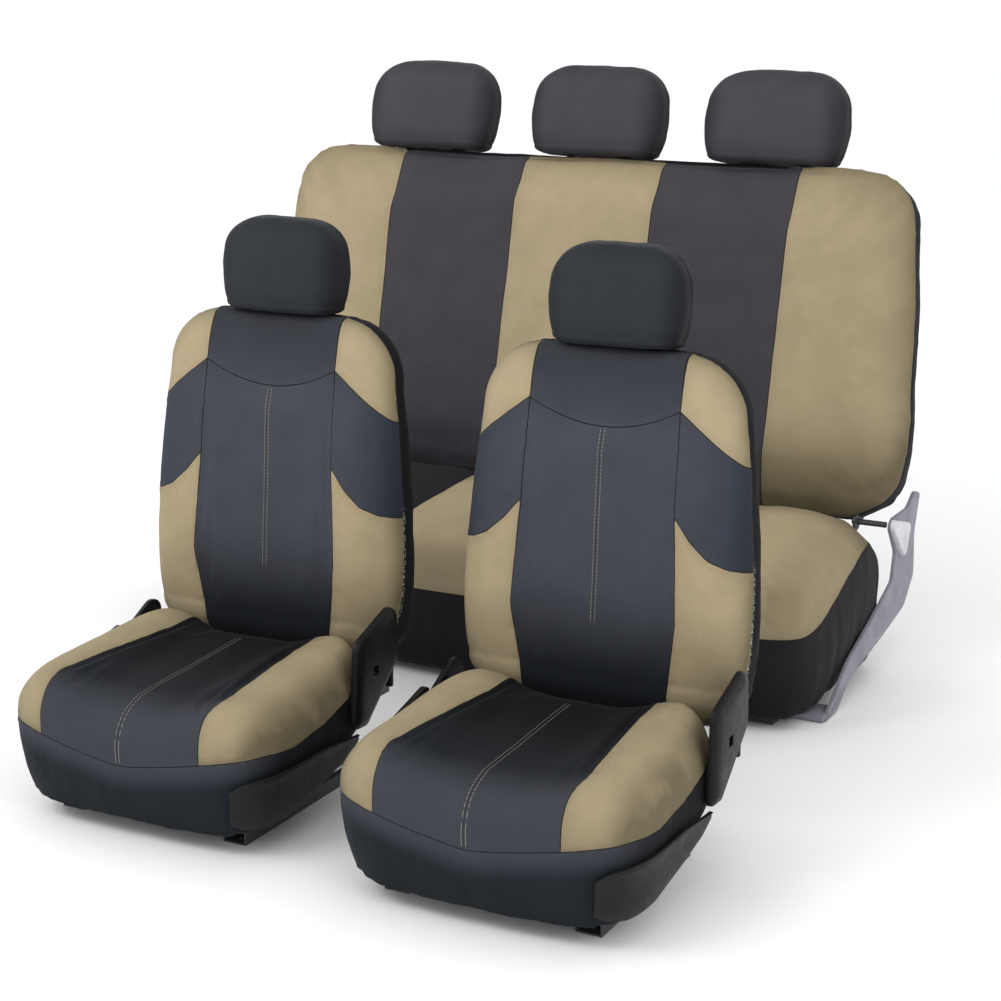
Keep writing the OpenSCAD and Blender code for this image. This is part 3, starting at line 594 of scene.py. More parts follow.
def makeFrontBack(side):
    v = frontBack
    obj = loftRings(side + "BackCover", frontBackRings())
    evenMesh(obj, v["voxel"], 6)
    points = readPoints(obj)
    boxing, tanEdge, seams, yokeLine = frontBackPanels(points)
    puffUp(obj, (nearest(seams) < 0.006) | (points[:, 2] < 0.04), v["cap"])
    halveFaces(obj)
    boxing, tanEdge, seams, yokeLine = frontBackPanels(readPoints(obj))
    seamRelief(obj, nearest(seams), frontSeam)
    seed = 1 if side == "right" else 2
    ripple(obj, 9, 0.0014, seed)
    sides = smoothStep(np.abs(readPoints(obj)[:, 0]), 0.12, 0.24)
    ripple(obj, 34, 0.0007, seed + 2, (1, 1, 0.35), sides)
    points = readPoints(obj)
    u, y, s = points[:, 0], points[:, 1], points[:, 2]
    low = 1 - smoothStep(s, 0.03, 0.22)
    outer = smoothStep(np.abs(u), 0.13, 0.25)
    # painted shade: the dark cloth turns from charcoal to the darker seat-centre colour towards the bottom,
    # where the back meets the cushion
    dark = mixTint("charcoal", "seatCentre", low)
    dark += (colour["navy"] - dark) * (outer * (1 - low))[:, None]
    # the dark cloth gets darker towards the top
    dark *= (1 - 0.38 * smoothStep(s, 0.43, 0.56))[:, None]
    # painted shade darkens the outer sides
    dark *= (1 - 0.45 * smoothStep(np.abs(u), 0.215, 0.262))[:, None]
    dark[boxing < 0] = colour["black"]
    shadow = np.exp(-np.maximum(tanEdge, 0) / 0.008) * 0.25 + 0.30 * low
    shadow += 0.55 * smoothStep(y, -0.034, 0.004) + 0.12 * outer * (1 - smoothStep(s, 0.2, 0.5))
    tan = mixTint("tan", "tanShadow", np.clip(shadow, 0, 0.9))
    across = np.where((s < yokeLine - 0.002) & (s > v["stitchBottom"]) & (boxing > 0), u, 1)
    finishCover(obj, tanEdge, seams, dark, tan, across, s, materials["frontBack"])
    hanging = smoothStep(s, 0.05, 0.09) * (1 - smoothStep(s, 0.23, 0.27)) * (u > 0)
    storeValue(obj, "fray", hanging * (1 - smoothStep(np.abs(boxing + 0.001), 0.002, 0.005)))
    toPlace(obj, backFrame(side))
    coverFor(obj, side + "_back", "back_fabric", 0.8, side + "_back_cover", side + "_back_foam")


# the cover of a front seat's cushion

frontCushion = {
    "halfWidth": 0.262,
    "front": -0.440,
    "rear": -0.010,
    "top": 0.236,
    "edge": 0.050,
    "bolster": 0.030,
    "slope": 0.05,
    "square": 5.0,
    "hem": 0.024,
    "rearHem": 0.117,
    "hemTurn": -0.430,
    "hemRise": 0.27,
    "sideTop": 0.160,
    "voxel": 0.0072,
    "cap": 0.008,
    "rimSeam": [(-0.45, 0.184), (-0.40, 0.178), (-0.309, 0.171), (-0.215, 0.181), (-0.13, 0.202),
                (-0.098, 0.214), (0, 0.226)],
    "rimDip": 0.050,
    "column": [(-0.45, 0.158), (-0.42, 0.159), (-0.365, 0.165), (-0.25, 0.152), (-0.10, 0.134),
               (0.0, 0.130)],
}


def cushionHeight(z, y):
    # squeezes the side's heights so that the lowest one is the hem
    v = frontCushion
    hem = np.clip(v["hem"] + v["hemRise"] * (y - v["hemTurn"]), v["hem"], v["rearHem"])
    return v["sideTop"] - (v["sideTop"] - z) * (v["sideTop"] - hem) / (v["sideTop"] - v["hem"])


def cushionRings():
    v = frontCushion
    middle = (v["front"] + v["rear"]) / 2
    length = (v["rear"] - v["front"]) / 2
    rings = []
    sides = [(0.090, 0.900), (0.072, 0.908), (0.042, 0.93), (0.030, 0.955), (0.024, 0.975), (0.027, 0.992)]
    sides += [(z, 1.0) for z in (0.036, 0.048, 0.06, 0.075, 0.09, 0.105, 0.12, 0.135, 0.15, 0.16)]
    for z, k in sides:
        halfWidth = v["halfWidth"] - blendValue(z, [(0.024, 0.016), (0.084, 0.006), (0.15, 0)])
        front = v["front"] + blendValue(z, [(0.024, 0.025), (0.084, 0.008), (0.15, 0)])
        ring = roundedRing(k * halfWidth, middle - k * (middle - front), middle + k * length, z,
                           v["square"], 112)
        ring[:, 2] = cushionHeight(z, ring[:, 1])
        rings.append(ring)
    low = v["top"] - v["edge"]
    shares = [(math.radians(a), 1.0) for a in (-18, -8, 0, 8, 18, 28, 38, 48, 58, 68, 78, 90)]
    shares += [(math.radians(90), k) for k in (0.92, 0.84, 0.76, 0.68, 0.6, 0.5, 0.4, 0.3, 0.2, 0.1)]
    for angle, k in shares:
        inward = v["edge"] * (1 - math.cos(max(angle, 0)))
        ring = roundedRing(k * (v["halfWidth"] - inward), middle - k * (length - inward),
                           middle + k * (length - inward * 0.35), 0, v["square"], 112)
        rise = max(math.sin(angle), 0)
        ring[:, 2] = low + v["edge"] * math.sin(angle) + v["slope"] * (ring[:, 1] - middle) * rise
        ring[:, 2] += v["bolster"] * bolsterShare(np.abs(ring[:, 0]) / v["halfWidth"]) * rise
        rings.append(ring)
    return rings


def cushionPanels(points):
    v = frontCushion
    x, y, z = points[:, 0], points[:, 1], points[:, 2]
    dip = v["rimDip"] * np.clip(1.06 - np.hypot(x, 0.03) / 0.24, 0, 1) * smoothStep(-y, 0.36, 0.41)
    rim = z - (blendValue(y, v["rimSeam"]) - dip)
    column = np.abs(x) - blendValue(y, v["column"])
    above = rim > 0
    return rim, np.minimum(column, rim), [rim, np.where(above, column, 1)]


def makeFrontCushion(side):
    v = frontCushion
    obj = loftRings(side + "CushionCover", cushionRings())
    evenMesh(obj, v["voxel"], 6)
    points = readPoints(obj)
    rim, tanEdge, seams = cushionPanels(points)
    puffUp(obj, (nearest(seams) < 0.006) | (points[:, 2] < cushionHeight(0.034, points[:, 1])), v["cap"])
    halveFaces(obj)
    rim, tanEdge, seams = cushionPanels(readPoints(obj))
    seamRelief(obj, nearest(seams), frontSeam)
    seed = 4 if side == "right" else 5
    ripple(obj, 8, 0.0014, seed)
    skirt = smoothStep(-rim, 0.0, 0.05)
    ripple(obj, 22, 0.0022, seed + 2, (1, 1, 0.25), skirt)
    points = readPoints(obj)
    x, y, z = points[:, 0], points[:, 1], points[:, 2]
    # painted light on the seat's top: black at the rear, in shade under the back, lightening towards the lit
    # front
    topTone = mixTint("black", "seatCentre", smoothStep(-y, 0.14, 0.36))
    topTone += (colour["charcoal"] * 0.8 - topTone) * smoothStep(-y, 0.33, 0.43)[:, None]
    # painted shade on the skirt: darker towards the bottom and towards the sides
    skirtTone = mixTint("valance", "seatCentre", smoothStep(0.11 - z, 0, 0.09))
    skirtTone *= (1.1 - 0.8 * smoothStep(np.abs(x), 0.225, 0.262))[:, None]
    dark = topTone * (1 - skirt)[:, None] + skirtTone * skirt[:, None]
    flank = smoothStep(np.abs(x), 0.205, 0.262)
    patches = 0.5 + 0.5 * softNoise(points, 14, seed + 6)
    shadow = np.exp(-np.maximum(tanEdge, 0) / 0.010) * 0.25
    shadow += flank * (0.35 + 0.55 * patches) + np.exp(-np.maximum(rim, 0) / 0.018) * 0.55 * patches
    shadow += 0.25 * smoothStep(y, -0.10, -0.01) + 0.24
    tan = mixTint("tan", "tanShadow", np.clip(shadow, 0, 0.85))
    across = np.where((rim > 0.004) & (y < -0.08), x, 1)
    finishCover(obj, tanEdge, seams, dark, tan, across, y, materials["frontCushion"])
    toPlace(obj, Matrix.Translation(place[side]))
    coverFor(obj, side + "_seat", "cushion_fabric", 0.8, side + "_cushion_cover",
             side + "_cushion_foam")


# headrest covers, all of one build in two sizes

headrestShape = {
    "front": {"half": 0.125, "height": 0.166, "depth": 0.052, "forward": -0.012, "round": 0.40},
    "spacing": 0.406,
    "bench": {"half": 0.160, "height": 0.196, "depth": 0.056, "forward": -0.012, "round": 0.42},
    "square": 3.4,
    "voxel": 0.006,
    "cap": 0.005,
    "seamAt": 0.012,
    "lift": 0.002,
}


def headrestRings(shape):
    w, h, d = shape["half"], shape["height"], shape["depth"]
    r = shape["round"] * h
    square = headrestShape["square"]
    rings = []
    profile = [(0.0, 0.80, 0.76), (0.012, 0.845, 0.86), (0.04, 0.885, 0.93), (0.10, 0.93, 0.98),
               (0.20, 0.965, 1.0), (0.32, 0.99, 1.0), (0.44, 1.0, 0.995), (0.56, 0.985, 0.96)]
    for share, wide, deep in profile:
        rings.append(roundedRing(w * wide, -d * deep, d * deep, h * share, square, 80))
    for angle in np.radians([14, 26, 38, 50, 61, 71, 80, 90]):
        wide = w * 0.98 - r * 1.15 * (1 - math.cos(angle))
        deep = d * 0.95 - 0.66 * d * (1 - math.cos(angle))
        rings.append(roundedRing(wide, -deep, deep, h - r + r * math.sin(angle), square, 80))
    return rings


def makeHeadrest(name, seat, node, body, shape, offset, postsY, backTop, tint, slotName, material, seed):
    obj = loftRings(name, headrestRings(shape))
    evenMesh(obj, headrestShape["voxel"], 8)
    points = readPoints(obj)
    nearSeam = np.abs(points[:, 1] - headrestShape["seamAt"]) < 0.005
    puffUp(obj, nearSeam | (points[:, 2] < 0.012), headrestShape["cap"])
    halveFaces(obj)
    sideSeam = readPoints(obj)[:, 1] - headrestShape["seamAt"]
    seamRelief(obj, np.abs(sideSeam), headrestSeam)
    ripple(obj, 12, 0.0020, seed)
    points = readPoints(obj)
    x, y, z = points[:, 0], points[:, 1], points[:, 2]
    # painted light and shade: a lighter middle, darkening towards the sides, the bottom and the top
    edgeShade = smoothStep(np.abs(x), shape["half"] * 0.6, shape["half"])
    topShade = smoothStep(z, shape["height"] * 0.72, shape["height"])
    shade = 1.1 - 0.62 * edgeShade - 0.30 * (1 - smoothStep(z, 0, 0.05)) - 0.30 * topShade
    shade = np.maximum(shade, 0.12)
    dark = colour[tint] * shade[:, None]
    far = np.full(len(points), 1.0)
    finishCover(obj, -far, [sideSeam], dark, dark, far, far, material)
    foot = Vector((offset, postsY + shape["forward"], backTop + headrestShape["lift"]))
    toPlace(obj, backFrame(seat) @ Matrix.Translation(foot))
    coverFor(obj, body, slotName, 0.85, node + "_cover", node + "_foam")


# the bench's covers

benchBack = {
    "halfWidth": [(0.0, 0.690), (0.03, 0.726), (0.06, 0.750), (0.12, 0.766), (0.20, 0.768),
                  (0.45, 0.752), (0.60, 0.734)],
    "bottom": 0.0,
    "top": 0.714,
    "front": -0.052,
    "rear": 0.086,
    "shoulder": 0.115,
    "shoulderDepth": 0.030,
    "bottomTuck": 0.026,
    "square": 8,
    "count": 160,
    "voxel": 0.0105,
    "cap": 0.012,
    "columns": (0.163, 0.467),
    "columnShift": 0.011,
    "boxingSeam": -0.006,
}


def benchBackRings():
    v = benchBack
    rings = []
    low = v["top"] - v["shoulder"]
    top = blendValue(low, v["halfWidth"])
    for s in np.concatenate([[0.0005, 0.004, 0.012, 0.025, 0.045, 0.07], np.linspace(0.1, low, 18)]):
        tuck = v["bottomTuck"] * (1 - smoothStep(s, 0.0, 0.06))
        rings.append(roundedRing(blendValue(s, v["halfWidth"]) - tuck, v["front"] + tuck,
                                 v["rear"] - tuck, s, v["square"], v["count"]))
    for angle in np.radians([10, 20, 30, 40, 50, 60, 69, 77, 84, 90]):
        inward = v["shoulder"] * (1 - math.cos(angle))
        depthIn = v["shoulderDepth"] * (1 - math.cos(angle))
        rings.append(roundedRing(top - inward, v["front"] + depthIn, v["rear"] - depthIn,
                                 low + v["shoulder"] * math.sin(angle), v["square"], v["count"]))
    return rings


def columnEdges(across, columns):
    inner, outer = columns
    return np.maximum(inner - np.abs(across), np.abs(across) - outer)


def benchBackPanels(points):
    v = benchBack
    boxing = v["boxingSeam"] - points[:, 1]
    tan = columnEdges(points[:, 0] - v["columnShift"], v["columns"])
    return boxing, np.minimum(tan, boxing), [tan, boxing]


def makeBenchBack():
    v = benchBack
    obj = loftRings("benchBackCover", benchBackRings())
    evenMesh(obj, v["voxel"], 5)
    points = readPoints(obj)
    boxing, tanEdge, seams = benchBackPanels(points)
    puffUp(obj, (np.abs(boxing) < 0.007) | (points[:, 2] < 0.05), v["cap"])
    halveFaces(obj)
    boxing, tanEdge, seams = benchBackPanels(readPoints(obj))
    seamRelief(obj, nearest(seams), benchSeam)
    points = readPoints(obj)
    normals = readNormals(obj)
    hollow = np.exp(-((np.abs(points[:, 0]) - 0.30) / 0.22) ** 2) * smoothStep(points[:, 2], 0.1, 0.3)
    push = np.where(normals[:, 1] < -0.3, -0.010 * hollow, 0)
    writePoints(obj, points + normals * push[:, None])
    ripple(obj, 5, 0.0030, 7)
    ripple(obj, 17, 0.0012, 8)
    points = readPoints(obj)
    u, y, s = points[:, 0], points[:, 1], points[:, 2]
    edge = smoothStep(-np.minimum(boxing, 0.05), -0.045, 0.0)
    low = 1 - smoothStep(s, 0.03, 0.24)
    shadow = np.exp(-np.maximum(tanEdge, 0) / 0.010) * 0.15 + 0.5 * edge + 0.8 * low
    shadow += 0.15 * smoothStep(u, 0.45, 0.73)
    tan = mixTint("tan", "tanShadow", np.clip(shadow, 0, 0.9))
    # painted shade: the violet cloth darkens towards the bottom
    dark = colour["violet"] * (1.0 - 0.2 * smoothStep(0.4 - s, 0, 0.4))[:, None]
    dark[boxing < 0] = colour["seatCentre"]
    far = np.full(len(points), 1.0)
    finishCover(obj, tanEdge, seams, dark, tan, far, far, materials["benchBack"])
    toPlace(obj, backFrame("bench"))
    coverFor(obj, "bench_back", "bench_back_fabric", 0.8, "bench_back_cover", "bench_back_foam")


benchCushion = {
    "halfWidth": 0.742,
    "front": -0.432,
    "rear": 0.008,
    "reach": [(0.0, 0.105), (0.225, 0.105), (0.262, 0.080), (0.285, 0.030), (0.30, 0.008)],
    "top": 0.318,
    "edge": 0.052,
    "square": 9,
    "hem": 0.020,
    "voxel": 0.0110,
    "cap": 0.012,
    "rimSeam": 0.186,
    "columns": (0.163, 0.467),
}


def benchCushionRings():
    v = benchCushion
    middle = (v["front"] + v["rear"]) / 2
    length = (v["rear"] - v["front"]) / 2
    rings = []
    sides = [(0.040, 0.88), (0.036, 0.91), (0.027, 0.94), (0.021, 0.97), (0.024, 0.992)]
    sides += [(z, 1.0) for z in (0.035, 0.05, 0.07, 0.09, 0.11, 0.13, 0.15, 0.17, 0.19, 0.21, 0.23, 0.25)]
    for z, k in sides:
        halfWidth = v["halfWidth"] - blendValue(z, [(0.02, 0.014), (0.1, 0.004), (0.18, 0)])
        front = v["front"] + blendValue(z, [(0.02, 0.012), (0.1, 0.003), (0.18, 0)])
        rear = k * blendValue(z, v["reach"])
        rings.append(roundedRing(k * halfWidth, middle - k * (middle - front), rear, z, v["square"], 168))
    low = v["top"] - v["edge"]
    shares = [(math.radians(a), 1.0) for a in (8, 18, 28, 38, 48, 58, 68, 78, 90)]
    shares += [(math.radians(90), k) for k in (0.85, 0.7, 0.55, 0.4, 0.25, 0.1)]
    for angle, k in shares:
        inward = v["edge"] * (1 - math.cos(angle))
        height = low + v["edge"] * math.sin(angle)
        rear = blendValue(height, v["reach"]) if k == 1 else middle + k * (length - inward * 0.4)
        ring = roundedRing(k * (v["halfWidth"] - inward), middle - k * (length - inward * 1.6), rear, 0,
                           v["square"], 168)
        ring[:, 2] = height + 0.07 * (np.minimum(ring[:, 1], v["rear"]) - middle) * math.sin(angle)
        rings.append(ring)
    return rings


def benchCushionPanels(points):
    v = benchCushion
    x, y, z = points[:, 0], points[:, 1], points[:, 2]
    rise = 0.10 * smoothStep(y, -0.40, -0.02) * smoothStep(np.abs(x), 0.60, 0.72)
    rim = z - (v["rimSeam"] + rise)
    tan = columnEdges(x - benchBack["columnShift"], v["columns"])
    return rim, np.minimum.reduce([tan, rim, 0.018 - y]), [rim, np.where(rim > 0, tan, 1)]


def makeBenchCushion():
    v = benchCushion
    obj = loftRings("benchCushionCover", benchCushionRings())
    evenMesh(obj, v["voxel"], 5)
    points = readPoints(obj)
    rim, tanEdge, seams = benchCushionPanels(points)
    puffUp(obj, (nearest(seams) < 0.007) | (points[:, 2] < 0.03), v["cap"])
    halveFaces(obj)
    rim, tanEdge, seams = benchCushionPanels(readPoints(obj))
    seamRelief(obj, nearest(seams), benchSeam)
    skirt = smoothStep(-rim, 0.0, 0.05)
    ripple(obj, 5, 0.003, 9)
    ripple(obj, 16, 0.003, 10, (1, 1, 0.25), skirt)
    points = readPoints(obj)
    x, y, z = points[:, 0], points[:, 1], points[:, 2]
    shadow = np.exp(-np.maximum(tanEdge, 0) / 0.010) * 0.15 + 0.6 * smoothStep(y, -0.14, 0.0)
    shadow += 0.3 * smoothStep(np.abs(x), 0.60, 0.72) + 0.06
    tan = mixTint("tan", "tanShadow", np.clip(shadow, 0, 0.9))
    # the cushion's dark cloth is the violet at lower strength, with painted shade darker towards the bottom
    dark = colour["violet"] * (0.28 - 0.1 * smoothStep(0.15 - z, 0, 0.12))[:, None]
    far = np.full(len(points), 1.0)
    finishCover(obj, tanEdge, seams, dark, tan, far, far, materials["benchCushion"])
    toPlace(obj, Matrix.Translation(place["bench"]))
    coverFor(obj, "floor", "bench_cushion_fabric", 0.8, "bench_cushion_cover",
             "bench_cushion_foam")


for side in ("right", "left"):
    makeFrontBack(side)
    makeFrontCushion(side)
    makeHeadrest(side + "HeadrestCover", side, side + "_headrest", side + "_headrest",
                 headrestShape["front"], 0, 0.022, 0.582, "headrest", "headrest_fabric",
                 materials["frontHeadrest"], 11 if side == "right" else 12)
    print(side, "seat covered")

makeBenchBack()
makeBenchCushion()
for index, spot in enumerate(("left", "middle", "right")):
    makeHeadrest("bench" + spot.capitalize() + "HeadrestCover", "bench",
                 "bench_" + spot + "_headrest", "bench_" + spot + "_headrest",
                 headrestShape["bench"], (index - 1) * headrestShape["spacing"], 0.026, 0.712, "violet",
                 "bench_headrest_fabric", materials["benchHeadrest"], 13 + index)
print("bench covered")


# moulded trim: recliner covers, levers, side shields, bench brackets

def domedPlate(name, discs, side, inner, outer, rim, crown, across=48):
    # a plate stretched over discs given as (y, z, radius), with a rolled rim and a crowned face
    bm = bmesh.new()
    layers = [(0.0, inner), (0.0, outer - rim)]
    layers += [(rim * (1 - math.cos(a)), outer - rim + rim * math.sin(a)) for a in np.radians([30, 60, 80])]
    layers += [(rim * 1.6, outer + crown * 0.45), (rim * 2.6, outer + crown)]
    for y, z, radius in discs:
        for inset, x in layers:
            ring = bmesh.ops.create_circle(bm, cap_ends=False, segments=across,
                                           radius=max(radius - inset, 0.001))["verts"]
            bmesh.ops.rotate(bm, verts=ring, matrix=Matrix.Rotation(math.radians(90), 3, "Y"))
            bmesh.ops.translate(bm, verts=ring, vec=(side * x, y, z))
    bmesh.ops.delete(bm, geom=bm.edges[:], context="EDGES_FACES")
    hull = bmesh.ops.convex_hull(bm, input=bm.verts)
    bmesh.ops.delete(bm, geom=list({v for v in hull["geom_interior"] + hull["geom_unused"]
                                    if isinstance(v, bmesh.types.BMVert)}), context="VERTS")
    bmesh.ops.dissolve_limit(bm, angle_limit=math.radians(0.5), verts=bm.verts, edges=bm.edges)
    bmesh.ops.recalc_face_normals(bm, faces=bm.faces)
    return finishMesh(name, bm)


def boxPiece(name, low, high, roundness, segments=3):
    bm = bmesh.new()
    bmesh.ops.create_cube(bm, size=1)
    bmesh.ops.scale(bm, verts=bm.verts, vec=[b - a for a, b in zip(low, high)])
    bmesh.ops.translate(bm, verts=bm.verts, vec=[(a + b) / 2 for a, b in zip(low, high)])
    bmesh.ops.bevel(bm, geom=bm.edges[:], offset=roundness, segments=segments, affect="EDGES",
                    profile=0.5, material=-1)
    return finishMesh(name, bm)


def cutWith(obj, tool):
    cut = obj.modifiers.new("Cut", "BOOLEAN")
    cut.operation = "DIFFERENCE"
    cut.solver = "EXACT"
    cut.object = tool
    bakeModifiers(obj)
    bpy.data.objects.remove(tool)


def joinPieces(name, pieces):
    bm = bmesh.new()
    for piece in pieces:
        bm.from_mesh(piece.data)
        bpy.data.objects.remove(piece)
    return finishMesh(name, bm)


def sharpEdges(obj, degrees=35):
    limit = obj.modifiers.new("Edge split", "EDGE_SPLIT")
    limit.split_angle = math.radians(degrees)
    bakeModifiers(obj)


def fitTrim(obj, matrix, body, slotName, material, *nodes):
    obj.data.materials.clear()
    obj.data.materials.append(material)
    sharpEdges(obj)
    toPlace(obj, matrix)
    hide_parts(*nodes)
    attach(obj, body)


reclinerCover = {
    "discs": [(-0.024, 0.305, 0.026), (-0.033, 0.252, 0.038), (-0.108, 0.276, 0.026),
              (-0.128, 0.160, 0.016), (-0.108, 0.160, 0.017)],
    "farDiscs": [(0.022, 0.232, 0.026), (-0.060, 0.196, 0.020), (-0.092, 0.162, 0.014),
                 (-0.010, 0.180, 0.018)],
    "inner": 0.264,
    "outer": 0.276,
    "rim": 0.007,
    "crown": 0.004,
    "holeMiddle": (-0.082, 0.237),
    "holeHalf": 0.0085,
    "housing": (0.229, 0.2642, -0.006, 0.004, 0.180, 0.228),
    "leverPivot": (-0.060, 0.220),
}


def makeReclinerCover(side, outward, node):
    v = reclinerCover
    discs, crown = (v["discs"], v["crown"]) if outward > 0 else (v["farDiscs"], 0.0)
    plate = domedPlate(node, discs, outward, v["inner"], v["outer"], v["rim"], crown)
    if outward > 0:
        y, z = v["holeMiddle"]
        half = v["holeHalf"]
        cutWith(plate, boxPiece("hole", (0.25, y - half, z - half), (0.30, y + half, z + half), 0.002))
    innerX, outerX, rearLow, rearHigh, low, high = v["housing"]
    edges = sorted((outward * innerX, outward * outerX))
    housing = boxPiece("housing", (edges[0], rearLow, low), (edges[1], rearHigh, high), 0.003)
    cover = joinPieces(node + "Shell", [plate, housing])
    fitTrim(cover, Matrix.Translation(place[side]), side + "_seat", "dark_plastic",
            materials["recliner"], node)


def makeLever(side):
    v = reclinerCover
    y, z = v["leverPivot"]
    start = v["outer"] + 0.001
    handle = domedPlate("handle", [(y, z - 0.006, 0.014), (y - 0.124, z - 0.034, 0.010)], -1, start,
                        start + 0.012, 0.004, 0.002)
    pin = domedPlate("pin", [(y, z, 0.006)], -1, v["outer"] + 0.0003, start + 0.002, 0.0005, 0.0005, 32)
    lever = joinPieces(side + "Lever", [handle, pin])
    fitTrim(lever, Matrix.Translation(place[side]), side + "_lever", "dark_plastic",
            materials["trim"], side + "_recliner_lever")


sideShield = {
    "rearAngle": 27,
    "frontAngle": -49.5,
    "steps": 44,
    "low": [(0, 0.116), (0.1, 0.099), (0.29, 0.083), (0.49, 0.070), (0.66, 0.056), (0.86, 0.050),
            (0.95, 0.053), (1, 0.064)],
    "high": [(0, 0.130), (0.2, 0.138), (0.35, 0.142), (0.86, 0.142), (0.95, 0.138), (1, 0.124)],
    "section": [(0.002, 0.02), (0.002, 0.5), (0.002, 0.98), (0.006, 1.01), (0.0085, 1.0), (0.0095, 0.96),
                (0.0090, 0.91), (0.0072, 0.85), (0.0070, 0.6), (0.0070, 0.3), (0.0060, 0.08), (0.004, 0.0)],
}


def shieldRings():
    v = sideShield
    cushion = frontCushion
    rings = []
    for share in np.linspace(0, 1, v["steps"] + 1):
        angle = math.radians(v["rearAngle"] + (v["frontAngle"] - v["rearAngle"]) * share)
        low, high = blendValue(share, v["low"]), blendValue(share, v["high"])
        ring = []
        for grow, level in v["section"]:
            z = low + (high - low) * level
            width = cushion["halfWidth"] - blendValue(z, [(0.024, 0.016), (0.084, 0.006), (0.15, 0)]) + grow
            front = cushion["front"] + blendValue(z, [(0.024, 0.025), (0.084, 0.008), (0.15, 0)]) - grow
            middle, depth = (front + cushion["rear"]) / 2, (cushion["rear"] - front) / 2
            n = cushion["square"]
            reach = (abs(math.cos(angle)) ** n + abs(math.sin(angle)) ** n) ** (-1 / n)
            ring.append((width * reach * math.cos(angle), middle + depth * reach * math.sin(angle), z))
        rings.append(np.array(ring))
    return rings


def makeSideShield(side):
    shield = loftRings(side + "SideShield", shieldRings())
    fitTrim(shield, Matrix.Translation(place[side]), side + "_seat", "dark_plastic",
            materials["trim"], side + "_side_shield")


benchBracket = {
    "inner": 0.744,
    "outer": 0.752,
    "outline": [(-0.310, 0.002), (-0.240, 0.002), (-0.161, 0.050), (0.009, 0.073), (0.169, 0.103),
                (0.229, 0.159), (0.221, 0.252), (0.250, 0.330), (0.215, 0.340), (0.170, 0.314),
                (0.070, 0.314), (0.052, 0.300), (0.100, 0.238), (0.085, 0.179), (-0.037, 0.132),
                (-0.177, 0.085)],
    "corner": 0.010,
    "rim": 0.003,
    "boardHalf": 0.666,
    "capDiscs": [(0.062, 0.302, 0.012), (0.148, 0.276, 0.014), (0.130, 0.238, 0.014)],
    "capThick": 0.010,
}


def makeBenchBracket(name, outward):
    v = benchBracket
    bm = bmesh.new()
    corners = bmesh.ops.create_circle(bm, cap_ends=True, segments=len(v["outline"]), radius=1)["verts"]
    for vert, (y, z) in zip(corners, v["outline"]):
        vert.co = (outward * v["inner"], y, z)
    bmesh.ops.bevel(bm, geom=bm.verts[:], offset=v["corner"], segments=4, affect="VERTICES",
                    profile=0.5, material=-1)
    made = bmesh.ops.extrude_face_region(bm, geom=bm.faces[:])["geom"]
    outer = [g for g in made if isinstance(g, bmesh.types.BMVert)]
    bmesh.ops.translate(bm, verts=outer, vec=(outward * (v["outer"] - v["inner"]), 0, 0))
    outerFace = max(bm.faces, key=lambda f: abs(f.calc_center_median().x))
    bmesh.ops.bevel(bm, geom=list(outerFace.edges), offset=v["rim"], segments=3, affect="EDGES",
                    profile=0.5, material=-1)
    bmesh.ops.recalc_face_normals(bm, faces=bm.faces)
    plate = finishMesh("plate", bm)
    edges = sorted((outward * v["boardHalf"], outward * (v["inner"] + 0.004)))
    foot = boxPiece("foot", (edges[0], -0.310, 0.002), (edges[1], -0.240, 0.014), 0.002)
    bracket = joinPieces(name, [plate, foot])
    node = "bench_right_bracket" if outward > 0 else "bench_left_bracket"
    fitTrim(bracket, Matrix.Translation(place["bench"]), "floor", "grey_plastic",
            materials["bracket"], node)


def makeBenchCaps():
    v = benchBracket
    caps = [domedPlate("cap", v["capDiscs"], outward, v["outer"], v["outer"] + v["capThick"], 0.004, 0.001)
            for outward in (-1, 1)]
    fitTrim(joinPieces("benchCaps", caps), Matrix.Translation(place["bench"]), "floor", "pale_plastic",
            materials["cap"], "bench_bracket_caps")


for side in ("right", "left"):
    makeReclinerCover(side, 1, side + "_recliner_cover")
    makeReclinerCover(side, -1, side + "_far_recliner_cover")
    makeLever(side)
    makeSideShield(side)
makeBenchBracket("benchRightBracket", 1)
makeBenchBracket("benchLeftBracket", -1)
makeBenchCaps()
print("trim made")


# plain parts keep their shape and take a material

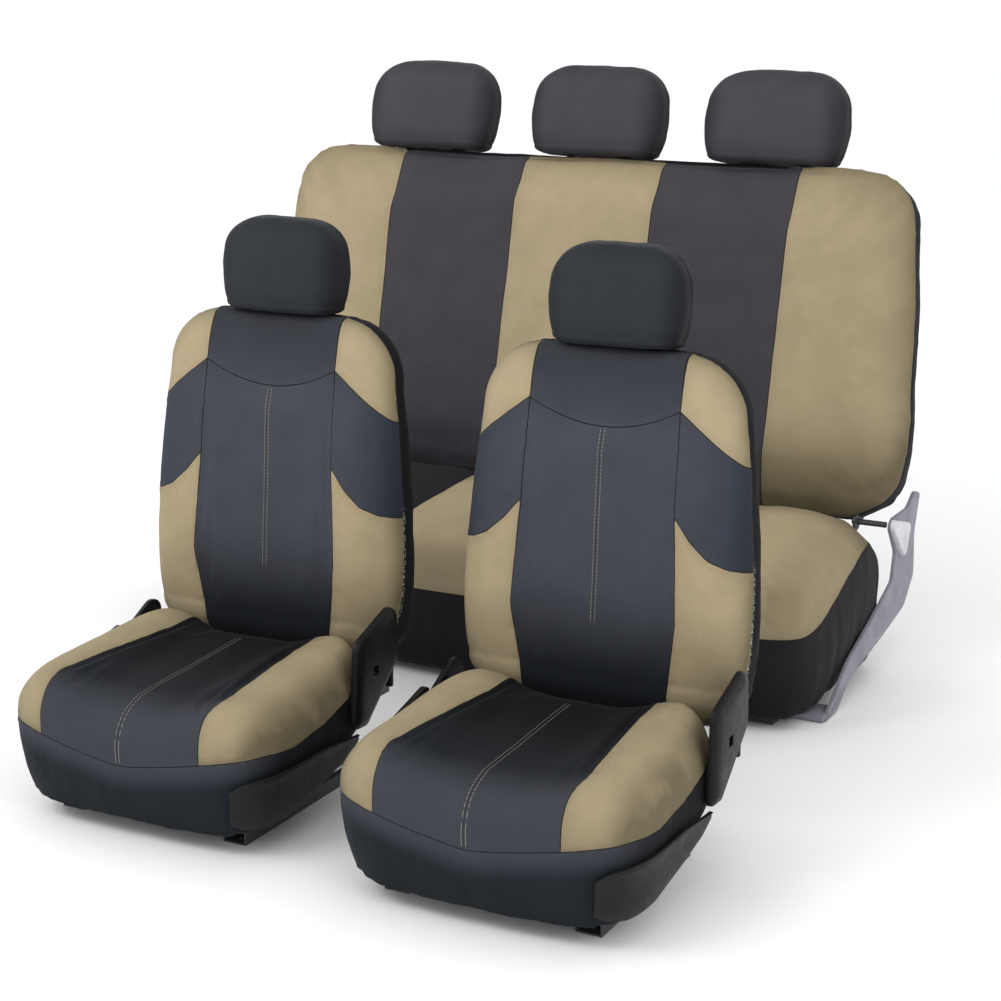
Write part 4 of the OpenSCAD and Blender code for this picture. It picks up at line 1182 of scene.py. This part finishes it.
finishOf = {
    "frame_steel": "paintedSteel",
    "bright_steel": "brightSteel",
    "dark_plastic": "trim",
    "guide_plastic": "guide",
    "grey_plastic": "bracket",
    "pale_plastic": "cap",
}
darkPins = ("bench_pivot_pins", "right_pivot_pins", "left_pivot_pins")
slotOf = {entry["node"]: entry["material_slot"] for entry in frame["record"]["subparts"]}
for nodeName, obj in frame["nodes"].items():
    wanted = "paintedSteel" if nodeName in darkPins else finishOf.get(slotOf.get(nodeName))
    if wanted is None:
        continue
    for index in range(len(obj.material_slots)):
        obj.material_slots[index].material = materials[wanted]
print("plain parts finished")


# floor, light and camera

studio = {
    "floorSize": 60,
    "floorTone": 0.97,
    "world": 1.04,
    "keyPower": 60,
    "fillPower": 20,
    "eye": (1.961, -3.476, 1.430),
    "turn": 27.64,
    "tilt": -14.36,
    "lens": 77.68,
}


def makeFloor():
    bm = bmesh.new()
    bmesh.ops.create_grid(bm, x_segments=1, y_segments=1, size=studio["floorSize"] / 2)
    floor = finishMesh("studioFloor", bm, False)
    maker = NodeMaker("pale floor")
    tone = studio["floorTone"]
    maker.shader.inputs["Base Color"].default_value = (tone, tone, tone, 1)
    maker.shader.inputs["Roughness"].default_value = 0.9
    floor.data.materials.append(maker.material)


def makeLight(name, spot, target, size, power):
    data = bpy.data.lights.new(name, "AREA")
    data.shape = "RECTANGLE"
    data.size = size
    data.size_y = size * 0.7
    data.energy = power
    lamp = bpy.data.objects.new(name, data)
    lamp.location = spot
    lamp.rotation_euler = (Vector(target) - Vector(spot)).to_track_quat("-Z", "Y").to_euler()
    bpy.context.collection.objects.link(lamp)


makeFloor()
makeLight("keyLight", (-1.8, -3.2, 3.6), (0, 0, 0.4), 2.4, studio["keyPower"])
makeLight("fillLight", (3.4, -2.2, 2.4), (0, 0, 0.5), 2.0, studio["fillPower"])

world = bpy.data.worlds.new("studio air")
world.use_nodes = True
world.node_tree.nodes["Background"].inputs[0].default_value = (1, 1, 1, 1)
world.node_tree.nodes["Background"].inputs[1].default_value = studio["world"]
bpy.context.scene.world = world
bpy.context.scene.view_settings.view_transform = "Standard"

cameraData = bpy.data.cameras.new("camera")
cameraData.lens = studio["lens"]
cameraData.sensor_width = 36
camera = bpy.data.objects.new("camera", cameraData)
camera.location = studio["eye"]
camera.rotation_euler = (math.radians(90 + studio["tilt"]), 0, math.radians(studio["turn"]))
bpy.context.collection.objects.link(camera)
bpy.context.scene.camera = camera
print("studio ready")
